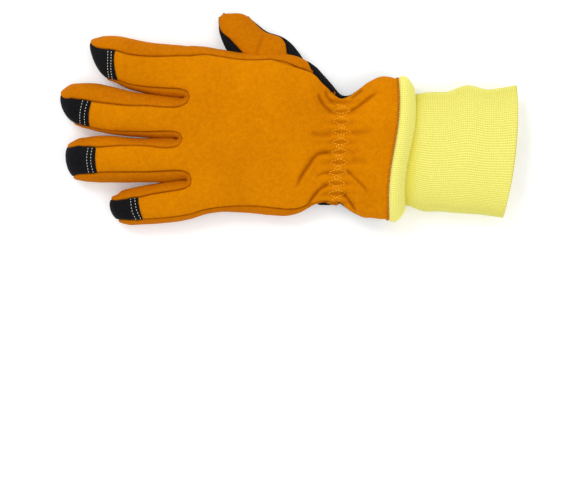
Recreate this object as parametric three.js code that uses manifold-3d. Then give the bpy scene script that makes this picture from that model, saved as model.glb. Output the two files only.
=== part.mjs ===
// Structural firefighter glove for the left hand, lying palm down with the thumb held out to the side.
// Millimetres, +Z up. -X runs to the fingertips, +X to the open end of the knit cuff, +Y to the thumb.
// The origin is under the middle of the palm, on the surface that the glove rests on.
import * as THREE from "three";
import { mergeVertices } from "three/addons/utils/BufferGeometryUtils.js";
import Module from "manifold-3d";

// Driving sizes
const GLOVE_LENGTH = 330.5; // middle fingertip to the open end of the cuff
const PALM_WIDTH = 118; // across the knuckles, seam bulges left out
const HAND_HEIGHT = 30; // floor to the back of the hand
const LEATHER = 1.9; // wall of the suede
const KNIT = 2.2; // wall of the rib knit
const PATCH = 1.3; // wear patch on the palm
const TAB = 1.5; // pull tab
const SEAM_PULL = 0.2; // each leather edge stands back this far from its seam line
const MITRE_LIMIT = 1.4; // longest corner of a mitred edge, in walls
const MITRE_SOFTNESS = 0.02; // keeps a mitre steady where the faces are nearly level
const FIT = 0.35; // clearance between layers that lie on each other
const ORIGIN_ALONG = 0.416; // share of the length at which the origin sits

// How finely the surfaces are cut
const BACK_COLUMNS = 6; // over each finger, on the back
const PALM_COLUMNS = 4; // over each finger, on the palm
const SIDE_COLUMNS = 3; // top to bottom of a side strip
const NOSE_ANGLES = [0, 35, 62]; // degrees up the round end of a fingertip, below the full 90
const PATCH_COLUMNS = 8;
const TAB_COLUMNS = 10;
const THUMB_COLUMNS = 8;
const TURN_STEPS = [1, 0.5]; // where the front leather is cut on the back of the thumb

// Shapes of the sections
const BACK_POWER = 2.2; // how flat the back of the hand is across its middle
const PALM_POWER = 6; // the palm is flatter than the back
const UNDER_CROWN = 0.6; // crown of a finger's underside, as a share of its back's
const FADE_ROWS = 3; // rows of a finger over which its crown runs out into the hand
const HEM_PALM_POWER = 2.5; // and rounder again at the hem
const CUFF_POWER = 2.3; // roundness of the lying knit tube
const ROLL_REACH = 0.24; // share of the palm's columns that the rolled-out edge takes up
const WRIST_ROW = 12; // row of HAND_ROWS at which the gathered wrist lies
const SWELL_FROM = -0.6; // slope of the hem's outward face, upwards, where the roll starts to swell
const SWELL_TO = 0.3; // slope where it has its full swell
const HEM_WAVE = 0.0057; // share of the length by which the hem swings out at the thumb side
const CROTCH_SLOPE = 0.006; // share of the length that the palm side of a crotch lies nearer the wrist
const CROTCH_FADE = [1, 0.5, 0.15]; // how the pull of the crotches on the rows dies out

// Shares: along = of GLOVE_LENGTH from the middle fingertip, across = of PALM_WIDTH towards the thumb,
// height = of HAND_HEIGHT, lean and bulge = of PALM_WIDTH.

// One row per section, fingertip first. Columns: back seam on the thumb side (along, across), back seam
// on the little-finger side (along, across), their heights, the heights of the palm seams under them,
// how far the palm seams lean towards the thumb, then the bulge of the back, of the thumb-side wall
// and of the other wall.
const FINGER_ROWS = {
  index: [
    [0.065, 0.527, 0.1, 0.323, 0.7, 0.517, 0.14, 0.073, 0.0635, 0.0339, 0.022, 0.022, 0.0169],
    [0.09, 0.515, 0.119, 0.318, 0.727, 0.527, 0.133, 0.053, 0.0762, 0.0381, 0.022, 0.0339, 0.0203],
    [0.125, 0.5, 0.129, 0.313, 0.75, 0.533, 0.133, 0.047, 0.0915, 0.0423, 0.0203, 0.0423, 0.0305],
    [0.155, 0.477, 0.153, 0.29, 0.767, 0.553, 0.14, 0.047, 0.0932, 0.044, 0.0195, 0.0491, 0.0423],
    [0.194, 0.466, 0.194, 0.274, 0.78, 0.587, 0.15, 0.053, 0.0796, 0.0423, 0.0186, 0.0457, 0.0542],
    [0.231, 0.467, 0.231, 0.267, 0.773, 0.653, 0.16, 0.06, 0.0644, 0.0356, 0.0161, 0.0407, 0.0618],
    [0.259, 0.47, 0.261, 0.262, 0.76, 0.747, 0.173, 0.067, 0.0525, 0.0254, 0.0119, 0.033, 0.0593],
    [0.277, 0.471, 0.279, 0.246, 0.747, 0.853, 0.18, 0.07, 0.0423, 0.0127, 0.0068, 0.0254, 0.0373],
  ],
  middle: [
    [0.001, 0.195, 0.028, 0.054, 0.683, 0.453, 0.147, 0.067, 0.0813, 0.0254, 0.022, 0.0271, 0.0169],
    [0.026, 0.212, 0.049, 0.041, 0.72, 0.473, 0.14, 0.053, 0.0915, 0.0339, 0.022, 0.0373, 0.0203],
    [0.073, 0.19, 0.067, 0.03, 0.76, 0.487, 0.14, 0.047, 0.1016, 0.039, 0.0203, 0.0627, 0.0237],
    [0.107, 0.177, 0.105, 0.01, 0.793, 0.513, 0.14, 0.047, 0.0915, 0.0407, 0.0195, 0.0661, 0.0305],
    [0.15, 0.166, 0.15, 0.001, 0.82, 0.567, 0.133, 0.05, 0.0728, 0.0407, 0.0186, 0.0542, 0.0415],
    [0.194, 0.165, 0.194, 0, 0.84, 0.64, 0.12, 0.057, 0.0576, 0.0356, 0.0169, 0.0398, 0.044],
    [0.231, 0.157, 0.227, 0.002, 0.867, 0.74, 0.1, 0.063, 0.0407, 0.0254, 0.0136, 0.0373, 0.0432],
    [0.261, 0.159, 0.252, -0.001, 0.893, 0.84, 0.08, 0.067, 0.0254, 0.0152, 0.0093, 0.0373, 0.0364],
    [0.278, 0.182, 0.264, -0.016, 0.913, 0.92, 0.07, 0.07, 0.0102, 0.0051, 0.0051, 0.0229, 0.0178],
  ],
  ring: [
    [0.015, -0.095, 0.028, -0.259, 0.667, 0.633, 0.107, 0.107, 0.0305, -0.022, 0.022, 0.0152, 0.0203],
    [0.041, -0.073, 0.054, -0.257, 0.693, 0.66, 0.093, 0.093, 0.039, -0.0271, 0.022, 0.0212, 0.0246],
    [0.083, -0.085, 0.085, -0.248, 0.727, 0.687, 0.08, 0.08, 0.0423, -0.0322, 0.0203, 0.0474, 0.039],
    [0.115, -0.078, 0.115, -0.244, 0.76, 0.707, 0.073, 0.073, 0.0407, -0.0339, 0.0195, 0.0415, 0.0415],
    [0.155, -0.072, 0.155, -0.244, 0.793, 0.72, 0.07, 0.07, 0.0373, -0.0322, 0.0186, 0.0254, 0.0415],
    [0.194, -0.076, 0.194, -0.243, 0.827, 0.733, 0.067, 0.067, 0.0322, -0.0271, 0.0169, 0.0254, 0.0398],
    [0.227, -0.089, 0.229, -0.238, 0.867, 0.76, 0.067, 0.067, 0.0237, -0.0203, 0.0136, 0.0415, 0.044],
    [0.252, -0.085, 0.266, -0.237, 0.907, 0.793, 0.067, 0.067, 0.0152, -0.0119, 0.0093, 0.0423, 0.0398],
    [0.264, -0.066, 0.283, -0.256, 0.933, 0.827, 0.067, 0.067, 0.0068, -0.0051, 0.0051, 0.0263, 0.0237],
  ],
  little: [
    [0.11, -0.412, 0.126, -0.532, 0.587, 0.547, 0.107, 0.107, 0.022, -0.0051, 0.0203, 0.0186, 0.0169],
    [0.134, -0.404, 0.153, -0.54, 0.613, 0.573, 0.093, 0.093, 0.0271, -0.0068, 0.0203, 0.039, 0.0203],
    [0.174, -0.389, 0.185, -0.532, 0.647, 0.6, 0.08, 0.08, 0.0322, -0.0068, 0.0195, 0.0474, 0.0237],
    [0.198, -0.373, 0.209, -0.529, 0.673, 0.613, 0.073, 0.08, 0.0322, -0.0068, 0.0186, 0.044, 0.0237],
    [0.227, -0.359, 0.235, -0.523, 0.707, 0.623, 0.067, 0.093, 0.0288, -0.0068, 0.0169, 0.044, 0.0237],
    [0.255, -0.348, 0.259, -0.515, 0.747, 0.63, 0.067, 0.113, 0.022, -0.0068, 0.0136, 0.044, 0.0237],
    [0.273, -0.337, 0.273, -0.507, 0.78, 0.633, 0.067, 0.133, 0.0152, -0.0068, 0.0093, 0.0415, 0.0237],
    [0.284, -0.32, 0.282, -0.502, 0.813, 0.633, 0.067, 0.15, 0.0076, -0.0068, 0.0051, 0.0279, 0.0237],
  ],
};

// The three forks between the fingers: along, across.
const CROTCHES = [
  [0.2854, 0.2165],
  [0.2684, -0.0396],
  [0.2887, -0.2896],
];

// One row per section of the hand, knuckles first, hem last. Columns: back seam on the thumb side
// (along, across), on the little-finger side (along, across), their heights, crown of the back, heights
// of the two palm seams, their lean towards the thumb, lowest height of the palm, bulge of the
// thumb-side and of the other side wall, roundness (1 a flat hand, 2 an oval), and how far the palm
// leather rolls out at the thumb side.
const HAND_ROWS = [
  [0.288, 0.472, 0.288, -0.499, 0.733, 0.633, 0.267, 0.183, 0.167, 0.0457, -0.0068, 0.063, 0.0271, 0.022, 1, 0],
  [0.318, 0.48, 0.318, -0.473, 0.753, 0.633, 0.28, 0.187, 0.167, 0.0356, -0.0051, 0.053, 0.0263, 0.0203, 1, 0],
  [0.351, 0.468, 0.351, -0.459, 0.78, 0.633, 0.28, 0.193, 0.167, 0.0271, -0.0051, 0.053, 0.0305, 0.0203, 1, 0],
  [0.388, 0.451, 0.388, -0.451, 0.807, 0.633, 0.267, 0.207, 0.167, 0.0237, -0.0068, 0.053, 0.0322, 0.0305, 1, 0],
  [0.427, 0.446, 0.427, -0.452, 0.82, 0.627, 0.253, 0.22, 0.167, 0.0237, -0.0085, 0.053, 0.0305, 0.0373, 1.02, 0],
  [0.464, 0.448, 0.464, -0.461, 0.82, 0.613, 0.253, 0.247, 0.167, 0.0237, -0.0085, 0.053, 0.0322, 0.0373, 1.05, 0],
  [0.495, 0.427, 0.495, -0.47, 0.8, 0.6, 0.26, 0.3, 0.18, 0.0322, -0.0068, 0.053, 0.039, 0.0339, 1.1, 0],
  [0.519, 0.402, 0.519, -0.467, 0.76, 0.58, 0.273, 0.38, 0.207, 0.0423, -0.0051, 0.053, 0.0423, 0.0237, 1.2, 0.0136],
  [0.538, 0.384, 0.538, -0.451, 0.72, 0.56, 0.287, 0.48, 0.253, 0.0423, -0.0017, 0.053, 0.0305, 0.0152, 1.3, 0.0508],
  [0.556, 0.363, 0.556, -0.432, 0.68, 0.54, 0.3, 0.68, 0.307, 0, 0, 0.057, 0, 0.0076, 1.45, 0.0796],
  [0.575, 0.308, 0.573, -0.423, 0.627, 0.52, 0.32, 0.627, 0.367, 0, 0, 0.067, 0, 0.0034, 1.6, 0.0762],
  [0.595, 0.256, 0.593, -0.424, 0.58, 0.5, 0.333, 0.58, 0.433, 0, 0, 0.083, 0, 0.0017, 1.8, 0.0627],
  [0.613, 0.217, 0.61, -0.433, 0.547, 0.487, 0.353, 0.547, 0.487, 0, 0, 0.093, 0, 0, 1.95, 0.0373],
  [0.63, 0.228, 0.625, -0.463, 0.547, 0.507, 0.413, 0.547, 0.507, 0, 0, 0.06, 0, 0, 2, 0.0119],
  [0.649, 0.262, 0.643, -0.496, 0.56, 0.533, 0.493, 0.56, 0.533, 0, 0, 0.033, 0, 0, 2, 0],
  [0.671, 0.307, 0.662, -0.52, 0.58, 0.56, 0.547, 0.58, 0.56, 0, 0, 0.02, 0, 0, 2, 0],
  [0.693, 0.339, 0.68, -0.524, 0.597, 0.58, 0.58, 0.597, 0.58, 0, 0, 0.013, 0, 0, 2, 0],
  [0.715, 0.346, 0.697, -0.529, 0.607, 0.593, 0.593, 0.607, 0.593, 0, 0, 0.013, 0, 0, 2, 0],
  [0.735, 0.332, 0.714, -0.53, 0.613, 0.6, 0.593, 0.613, 0.6, 0, 0, 0.013, 0, 0, 2, 0],
];

// One row per fold of the back. Columns: start (along, across), end (along, across), depth, width.
const FOLDS = [
  [0.597, -0.122, 0.551, -0.152, 0.073, 0.0339],
  [0.551, -0.152, 0.532, -0.262, 0.073, 0.0356],
  [0.532, -0.262, 0.512, -0.354, 0.053, 0.0381],
  [0.593, -0.232, 0.545, -0.311, 0.050, 0.0288],
  [0.588, -0.317, 0.549, -0.415, 0.047, 0.0288],
  [0.595, -0.018, 0.556, -0.006, 0.043, 0.0271],
  [0.597, 0.079, 0.562, 0.128, 0.037, 0.0271],
  [0.593, 0.140, 0.566, 0.207, 0.037, 0.0254],
  [0.623, -0.238, 0.649, -0.311, 0.050, 0.0288],
  [0.649, -0.311, 0.669, -0.384, 0.033, 0.0305],
  [0.617, -0.366, 0.647, -0.470, 0.043, 0.0271],
  [0.634, 0.128, 0.699, 0.244, 0.047, 0.0288],
  [0.634, 0.183, 0.682, 0.274, 0.037, 0.0254],
  [0.634, 0, 0.686, 0.018, 0.033, 0.0288],
  [0.630, -0.122, 0.673, -0.152, 0.030, 0.0288],
];
const GATHERS = 11; // ripples that the elastic draws across the wrist
const GATHER_DEPTH = 0.035; // share of the height
const GATHER_REACH = 0.045; // share of the length that they run out over
const GATHER_ALONG = 0.612; // where the elastic lies
const GATHER_DIP = 0.05; // share of the height that it pulls the back down

// One row per section of the thumb, tip first. Columns: seam on the fingers' side (along, across), seam
// on the wrist side (along, across), their heights, rise of the back, fall of the front, and how far
// round the back the front leather is drawn on each side.
const THUMB_ROWS = [
  [0.355, 0.729, 0.403, 0.726, 0.300, 0.300, 0, 0, 0, 0],
  [0.345, 0.698, 0.417, 0.699, 0.303, 0.303, 0.187, 0.173, 0.06, 0.03],
  [0.346, 0.649, 0.432, 0.665, 0.307, 0.307, 0.28, 0.253, 0.1, 0.14],
  [0.351, 0.591, 0.455, 0.619, 0.313, 0.32, 0.307, 0.28, 0.22, 0.1],
  [0.361, 0.524, 0.49, 0.585, 0.32, 0.347, 0.313, 0.283, 0.27, 0.1],
  [0.375, 0.457, 0.523, 0.494, 0.34, 0.38, 0.313, 0.287, 0.3, 0.27],
  [0.394, 0.384, 0.542, 0.39, 0.373, 0.42, 0.293, 0.247, 0.3, 0.27],
  [0.42, 0.299, 0.549, 0.274, 0.413, 0.453, 0.253, 0.187, 0.3, 0.27],
  [0.442, 0.226, 0.542, 0.189, 0.447, 0.473, 0.2, 0.14, 0.3, 0.27],
];
const THUMB_RIDGE = 0.03; // share of the height that the seam down the front of the thumb stands up

// One row per line across the wear patch: across, along at its finger edge, along at its heel edge.
const PATCH_ROWS = [
  [0.384, 0.322, 0.471],
  [0.323, 0.317, 0.490],
  [0.250, 0.312, 0.502],
  [0.177, 0.310, 0.508],
  [0.104, 0.310, 0.511],
  [0.030, 0.315, 0.516],
  [-0.043, 0.320, 0.519],
  [-0.116, 0.327, 0.521],
  [-0.189, 0.335, 0.523],
  [-0.262, 0.341, 0.524],
  [-0.335, 0.347, 0.524],
  [-0.402, 0.354, 0.524],
];

// One row per line across the pull tab. Columns: distance past the hem, across at its thumb side,
// across at its other side.
const TAB_ROWS = [
  [0.0013, 0.280, -0.265],
  [0.0174, 0.274, -0.265],
  [0.0370, 0.241, -0.259],
  [0.0588, 0.223, -0.237],
  [0.0828, 0.223, -0.226],
  [0.1089, 0.213, -0.213],
  [0.1329, 0.195, -0.192],
  [0.1547, 0.168, -0.159],
  [0.1721, 0.131, -0.113],
  [0.1841, 0.085, -0.061],
  [0.1906, 0.043, -0.018],
];
const TAB_LEVEL = 0.02; // height of its free end
const TAB_DROP = 0.075; // distance past the hem over which it comes down to that height

// One row per ring of the knit cuff, inner end first. Columns: thumb side (along, across), other side
// (along, across), height of the middle, half of the height, how far the middle of the ring stands out.
const CUFF_ROWS = [
  [0.712, 0.207, 0.699, -0.427, 0.600, 0.327, 0],
  [0.743, 0.216, 0.725, -0.433, 0.597, 0.327, 0],
  [0.778, 0.230, 0.756, -0.436, 0.580, 0.333, 0],
  [0.795, 0.241, 0.776, -0.455, 0.520, 0.360, 0.0011],
  [0.817, 0.246, 0.797, -0.474, 0.467, 0.380, 0.0022],
  [0.847, 0.248, 0.828, -0.473, 0.453, 0.373, 0.0035],
  [0.880, 0.282, 0.861, -0.482, 0.453, 0.373, 0.0052],
  [0.900, 0.284, 0.880, -0.485, 0.450, 0.370, 0.0065],
  [0.930, 0.263, 0.908, -0.490, 0.440, 0.360, 0.0083],
  [0.961, 0.270, 0.937, -0.499, 0.433, 0.353, 0.0100],
  [0.997, 0.289, 0.968, -0.512, 0.430, 0.350, 0.0113],
];

// One row per ring of the roll at the hem. Columns: distance past the hem, share of the way in to the cuff,
// how far it swells beyond the leather on the back.
const ROLL_ROWS = [
  [-0.0142, 0, 0],
  [0.0015, 0, 0],
  [0.0098, 0, 0.025],
  [0.0207, 0.06, 0.028],
  [0.0305, 0.27, 0.02],
  [0.0383, 0.6, 0.008],
  [0.0383, 1, 0],
];

// Small helpers
const clamp = (value, low, high) => Math.min(high, Math.max(low, value));
const mix = (a, b, share) => a + (b - a) * share;
const smooth = (share) => {
  const s = clamp(share, 0, 1);
  return s * s * (3 - 2 * s);
};
const place = (along, across, height) =>
  new THREE.Vector3(
    (along - ORIGIN_ALONG) * GLOVE_LENGTH,
    across * PALM_WIDTH,
    height * HAND_HEIGHT,
  );
const between = (a, b, share) => a.clone().lerp(b, share);
const range = (count) => Array.from({ length: count + 1 }, (_, i) => i / count);
const reversed = (list) => [...list].reverse();

// Depth of the folds and of the gathered wrist at a place on the back, as a share of HAND_HEIGHT.
function foldDepth(along, across) {
  const x = along * GLOVE_LENGTH;
  const y = across * PALM_WIDTH;
  let depth = 0;
  for (const [x0, y0, x1, y1, deep, wide] of FOLDS) {
    const dx = (x1 - x0) * GLOVE_LENGTH;
    const dy = (y1 - y0) * PALM_WIDTH;
    const px = x - x0 * GLOVE_LENGTH;
    const py = y - y0 * PALM_WIDTH;
    const share = clamp((px * dx + py * dy) / (dx * dx + dy * dy), 0, 1);
    const away = Math.hypot(px - share * dx, py - share * dy) / (wide * PALM_WIDTH);
    depth += deep * Math.exp(-away * away);
  }
  const reach = (along - GATHER_ALONG) / GATHER_REACH;
  const near = Math.exp(-reach * reach);
  const ripple = 0.5 + 0.5 * Math.cos(2 * Math.PI * GATHERS * across);
  return depth + near * (GATHER_DIP + GATHER_DEPTH * ripple);
}

// The hand: rows of its back and of its palm
const hand = HAND_ROWS.map((row) => {
  const [aT, cT, aL, cL, hT, hL, crown, pT, pL, leanT, leanL, floor, bulgeT, bulgeL, round, roll] = row;
  return {
    aT, cT, aL, cL, hT, hL, crown, pT, pL, floor, bulgeT, bulgeL, round, roll,
    cTPalm: cT + leanT,
    cLPalm: cL + leanL,
  };
});
const knuckles = hand[0];
const forkShares = CROTCHES.map(([, across]) => (knuckles.cT - across) / (knuckles.cT - knuckles.cL));
const forkShift = CROTCHES.map(([along]) => along - knuckles.aT);

// Share of the way across for each column: under the fingers at the knuckles, evenly round the oval
// at the hem.
function shares(rowNumber, columns) {
  const stops = [0, ...forkShares, 1];
  const total = columns * (stops.length - 1);
  const settle = smooth(rowNumber / WRIST_ROW);
  return Array.from({ length: total + 1 }, (_, j) => {
    const cell = Math.min(Math.floor(j / columns), stops.length - 2);
    const knuckle = mix(stops[cell], stops[cell + 1], (j - cell * columns) / columns);
    const oval = (1 - Math.cos((Math.PI * j) / total)) / 2;
    return mix(knuckle, oval, settle);
  });
}

// How far a row is drawn towards the fingertips by the forks.
function forkPull(rowNumber, share, slope) {
  const fade = CROTCH_FADE[rowNumber] || 0;
  const at = [0, ...forkShares, 1];
  const pull = [0, ...forkShift.map((shift) => shift + slope), 0];
  for (let k = 1; k < at.length; k += 1) {
    if (share <= at[k] + 1e-9) {
      return fade * mix(pull[k - 1], pull[k], (share - at[k - 1]) / (at[k] - at[k - 1]));
    }
  }
  return 0;
}

// How far the flared rows swing out towards the cuff.
function hemWave(rowNumber, share) {
  const flare = smooth((rowNumber - WRIST_ROW) / (hand.length - 1 - WRIST_ROW));
  return HEM_WAVE * flare * Math.sin(2 * Math.PI * share);
}

function backRow(rowNumber) {
  const row = hand[rowNumber];
  return shares(rowNumber, BACK_COLUMNS).map((share) => {
    const along = mix(row.aT, row.aL, share) + forkPull(rowNumber, share, 0) + hemWave(rowNumber, share);
    const across = mix(row.cT, row.cL, share);
    const rise = (1 - Math.abs(2 * share - 1) ** BACK_POWER) ** (1 / row.round);
    const fold = foldDepth(along, across) * rise;
    return place(along, across, mix(row.hT, row.hL, share) + row.crown * rise - fold);
  });
}

function palmRow(rowNumber) {
  const row = hand[rowNumber];
  const power = mix(PALM_POWER, HEM_PALM_POWER, row.round - 1);
  const list = shares(rowNumber, PALM_COLUMNS);
  return list.map((share, j) => {
    const pull = forkPull(rowNumber, share, CROTCH_SLOPE) + hemWave(rowNumber, share);
    const along = mix(row.aT, row.aL, share) + pull;
    const out = row.roll * Math.sin(Math.PI * clamp(j / (list.length * ROLL_REACH), 0, 1));
    const across = mix(row.cTPalm, row.cLPalm, share) + out;
    const fall = (1 - Math.abs(2 * share - 1) ** power) ** (1 / row.round);
    return place(along, across, mix(mix(row.pT, row.pL, share), row.floor, fall));
  });
}

const backRows = hand.map((_, i) => backRow(i));
const palmRows = hand.map((_, i) => palmRow(i));

// The fingers: four seams each, with the round nose at the tip worked out from the first two rows.
const FINGERS = Object.keys(FINGER_ROWS);

function fingerSeams(name) {
  const rows = FINGER_ROWS[name].map((row) => {
    const [aT, cT, aL, cL, hT, hL, pT, pL, leanT, leanL, crown, bulgeT, bulgeL] = row;
    return {
      backT: place(aT, cT, hT),
      backL: place(aL, cL, hL),
      palmT: place(aT, cT + leanT, pT),
      palmL: place(aL, cL + leanL, pL),
      crown: crown * PALM_WIDTH,
      bulgeT: bulgeT * PALM_WIDTH,
      bulgeL: bulgeL * PALM_WIDTH,
    };
  });
  const [tip, full] = rows;
  const nose = NOSE_ANGLES.map((degrees) => {
    const angle = THREE.MathUtils.degToRad(degrees);
    const back = 1 - Math.cos(angle);
    const rise = Math.sin(angle);
    const side = (backKey, palmKey) => {
      const top = between(tip[backKey], full[backKey], back);
      const bottom = between(tip[palmKey], full[palmKey], back);
      const middle = between(top, bottom, 0.5);
      return [between(middle, top, rise), between(middle, bottom, rise)];
    };
    const [backT, palmT] = side("backT", "palmT");
    const [backL, palmL] = side("backL", "palmL");
    return {
      backT, palmT, backL, palmL,
      crown: tip.crown,
      bulgeT: tip.bulgeT * rise,
      bulgeL: tip.bulgeL * rise,
    };
  });
  return [...nose, ...rows.slice(1)];
}

const seams = Object.fromEntries(FINGERS.map((name) => [name, fingerSeams(name)]));
const CAP_ROW = NOSE_ANGLES.length + 1; // the row of a finger where the fingertip leather ends on its back

// A strip is a grid of points: a list of rows, each from one edge of the strip to the other.
// Its faces are turned to look away from the points in `core`, one per row.

// Rows between two seams with a parabolic bulge along the strip's own normal.
function bulgedRows(sideA, sideB, bulges, columns, outwardFrom) {
  const middles = sideA.map((a, i) => between(a, sideB[i], 0.5));
  return sideA.map((a, i) => {
    const b = sideB[i];
    const run = middles[Math.min(i + 1, middles.length - 1)].clone().sub(middles[Math.max(i - 1, 0)]);
    const wide = a.distanceTo(b) > 1e-6 ? b.clone().sub(a) : sideB[i + 1 < sideB.length ? i + 1 : i - 1]
      .clone().sub(sideA[i + 1 < sideA.length ? i + 1 : i - 1]);
    const normal = run.cross(wide).normalize();
    if (normal.dot(middles[i].clone().sub(outwardFrom[i])) < 0) normal.negate();
    return range(columns).map((share) =>
      between(a, b, share).addScaledVector(normal, bulges[i] * 4 * share * (1 - share)),
    );
  });
}

const centre = (row) =>
  row.backT.clone().add(row.backL).add(row.palmT).add(row.palmL).multiplyScalar(0.25);
const handCentre = (i) => {
  const back = backRows[i];
  const palm = palmRows[i];
  return between(
    between(back[0], back[back.length - 1], 0.5),
    between(palm[0], palm[palm.length - 1], 0.5),
    0.5,
  );
};

// Column of a hand row at which the finger number k begins.
const backEdge = (row, k) => row[k * BACK_COLUMNS];
const palmEdge = (row, k) => row[k * PALM_COLUMNS];

const panels = new Map();
function addStrip(name, grid, core, free = false) {
  if (!panels.has(name)) panels.set(name, { strips: [], free, wall: LEATHER });
  panels.get(name).strips.push({ grid, core });
}

// Back and palm, finger by finger, each running on into the hand
FINGERS.forEach((name, k) => {
  const rows = seams[name];
  const count = rows.length;
  const fade = (i) => smooth((count - i) / FADE_ROWS);
  const slice = (row, columns) => row.slice(k * columns, (k + 1) * columns + 1);
  const handCores = hand.map((_, i) => handCentre(i));
  // Inside of a fingertip, for the rows that run round its end
  const inside = rows[CAP_ROW];
  const tipCore = centre(inside);

  const back = rows.slice(CAP_ROW);
  addStrip(
    "back_panel",
    [
      ...bulgedRows(
        back.map((row) => row.backT),
        back.map((row) => row.backL),
        back.map((row, i) => row.crown * fade(i + CAP_ROW)),
        BACK_COLUMNS,
        back.map(centre),
      ),
      ...backRows.map((row) => slice(row, BACK_COLUMNS)),
    ],
    [...back.map(centre), ...handCores],
  );

  const cap = reversed(rows.slice(1, CAP_ROW + 1));
  const under = rows.slice(1);
  const nose = rows[0];
  const capT = cap.map((row) => row.backT);
  const capL = cap.map((row) => row.backL);
  const underT = under.map((row) => row.palmT);
  const underL = under.map((row) => row.palmL);
  addStrip(
    "palm_panel",
    [
      ...bulgedRows(
        [...capT, nose.backT, ...underT],
        [...capL, nose.backL, ...underL],
        [
          ...cap.map((row) => row.crown),
          nose.crown,
          ...under.map((row, i) => row.crown * UNDER_CROWN * fade(i + 1)),
        ],
        PALM_COLUMNS,
        [
          ...cap.map(() => tipCore),
          tipCore,
          ...under.map((row, i) => (i < CAP_ROW ? tipCore : centre(row))),
        ],
      ),
      ...palmRows.map((row) => slice(row, PALM_COLUMNS)),
    ],
    [...cap.map(() => tipCore), tipCore, ...under.map(centre), ...handCores],
  );
});

// Side strips
function sideStrip(name, tops, bottoms, bulges, core) {
  addStrip(name, bulgedRows(tops, bottoms, bulges, SIDE_COLUMNS, core), core);
}
const sideEnd = (key) => hand.findIndex((row) => (key === "T" ? row.pT >= row.hT : row.pL >= row.hL));

const first = seams[FINGERS[0]];
const endT = sideEnd("T");
sideStrip(
  "sidewall_index",
  [...first.map((row) => row.backT), ...backRows.slice(0, endT + 1).map((row) => backEdge(row, 0))],
  [...first.map((row) => row.palmT), ...palmRows.slice(0, endT + 1).map((row) => palmEdge(row, 0))],
  [...first.map((row) => row.bulgeT), ...hand.slice(0, endT + 1).map((row) => row.bulgeT * PALM_WIDTH)],
  [...first.map(centre), ...hand.slice(0, endT + 1).map((_, i) => handCentre(i))],
);

const last = seams[FINGERS[3]];
const endL = sideEnd("L");
sideStrip(
  "sidewall_pinky",
  [...last.map((row) => row.backL), ...backRows.slice(0, endL + 1).map((row) => backEdge(row, 4))],
  [...last.map((row) => row.palmL), ...palmRows.slice(0, endL + 1).map((row) => palmEdge(row, 4))],
  [...last.map((row) => row.bulgeL), ...hand.slice(0, endL + 1).map((row) => row.bulgeL * PALM_WIDTH)],
  [...last.map(centre), ...hand.slice(0, endL + 1).map((_, i) => handCentre(i))],
);

FINGERS.slice(1).forEach((name, k) => {
  const one = seams[FINGERS[k]];
  const two = reversed(seams[name]);
  const fork = backEdge(backRows[0], k + 1);
  const forkPalm = palmEdge(palmRows[0], k + 1);
  const forkBulge = Math.min(one[one.length - 1].bulgeL, two[0].bulgeT) / 2;
  sideStrip(
    "fourchette_" + FINGERS[k] + "_" + name,
    [...one.map((row) => row.backL), fork, ...two.map((row) => row.backT)],
    [...one.map((row) => row.palmL), forkPalm, ...two.map((row) => row.palmT)],
    [...one.map((row) => row.bulgeL), forkBulge, ...two.map((row) => row.bulgeT)],
    [...one.map(centre), backEdge(backRows[2], k + 1), ...two.map(centre)],
  );
});

// Thumb: a back and a front that meet in a seam all round
const thumb = THUMB_ROWS.map(([aF, cF, aW, cW, hF, hW, rise, fall, turnF, turnW]) => ({
  fingerSide: place(aF, cF, hF),
  wristSide: place(aW, cW, hW),
  rise: rise * HAND_HEIGHT,
  fall: fall * HAND_HEIGHT,
  turnF,
  turnW,
}));
const thumbCore = thumb.map((row) => between(row.fingerSide, row.wristSide, 0.5));

// Point at a share of the way round the back (rise) or the front (fall) of a thumb section.
function thumbPoint(row, share, lift, spine) {
  const across = (1 - Math.cos(Math.PI * share)) / 2;
  const point = between(row.fingerSide, row.wristSide, across);
  return point.setZ(point.z + lift * Math.sin(Math.PI * share) + spine);
}
const thumbBackRows = thumb.map((row) =>
  range(THUMB_COLUMNS).map((share) => thumbPoint(row, mix(row.turnF, 1 - row.turnW, share), row.rise, 0)),
);
// The front leather is drawn up over both edges, as far as the turns say.
const thumbFrontRows = thumb.map((row) => {
  const spine = (share) => (share === 0.5 && row.fall > 0 ? -THUMB_RIDGE * HAND_HEIGHT : 0);
  const over = (share) => thumbPoint(row, share, row.rise, 0);
  return [
    ...TURN_STEPS.map((step) => over(row.turnF * step)),
    ...range(THUMB_COLUMNS).map((share) => thumbPoint(row, share, -row.fall, spine(share))),
    ...reversed(TURN_STEPS).map((step) => over(1 - row.turnW * step)),
  ];
});
addStrip("thumb_back", thumbBackRows, thumbCore);
addStrip("thumb_front", thumbFrontRows, thumbCore);

// Wear patch: flat on the floor under the palm
const patchRows = PATCH_ROWS.map(([across, fingerEdge, heelEdge]) =>
  range(PATCH_COLUMNS).map((share) => place(mix(fingerEdge, heelEdge, share), across, 0)),
);
addStrip("palm_patch", patchRows, patchRows.map((row) => row[0].clone().setZ(HAND_HEIGHT)), true);
panels.get("palm_patch").wall = PATCH;

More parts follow.
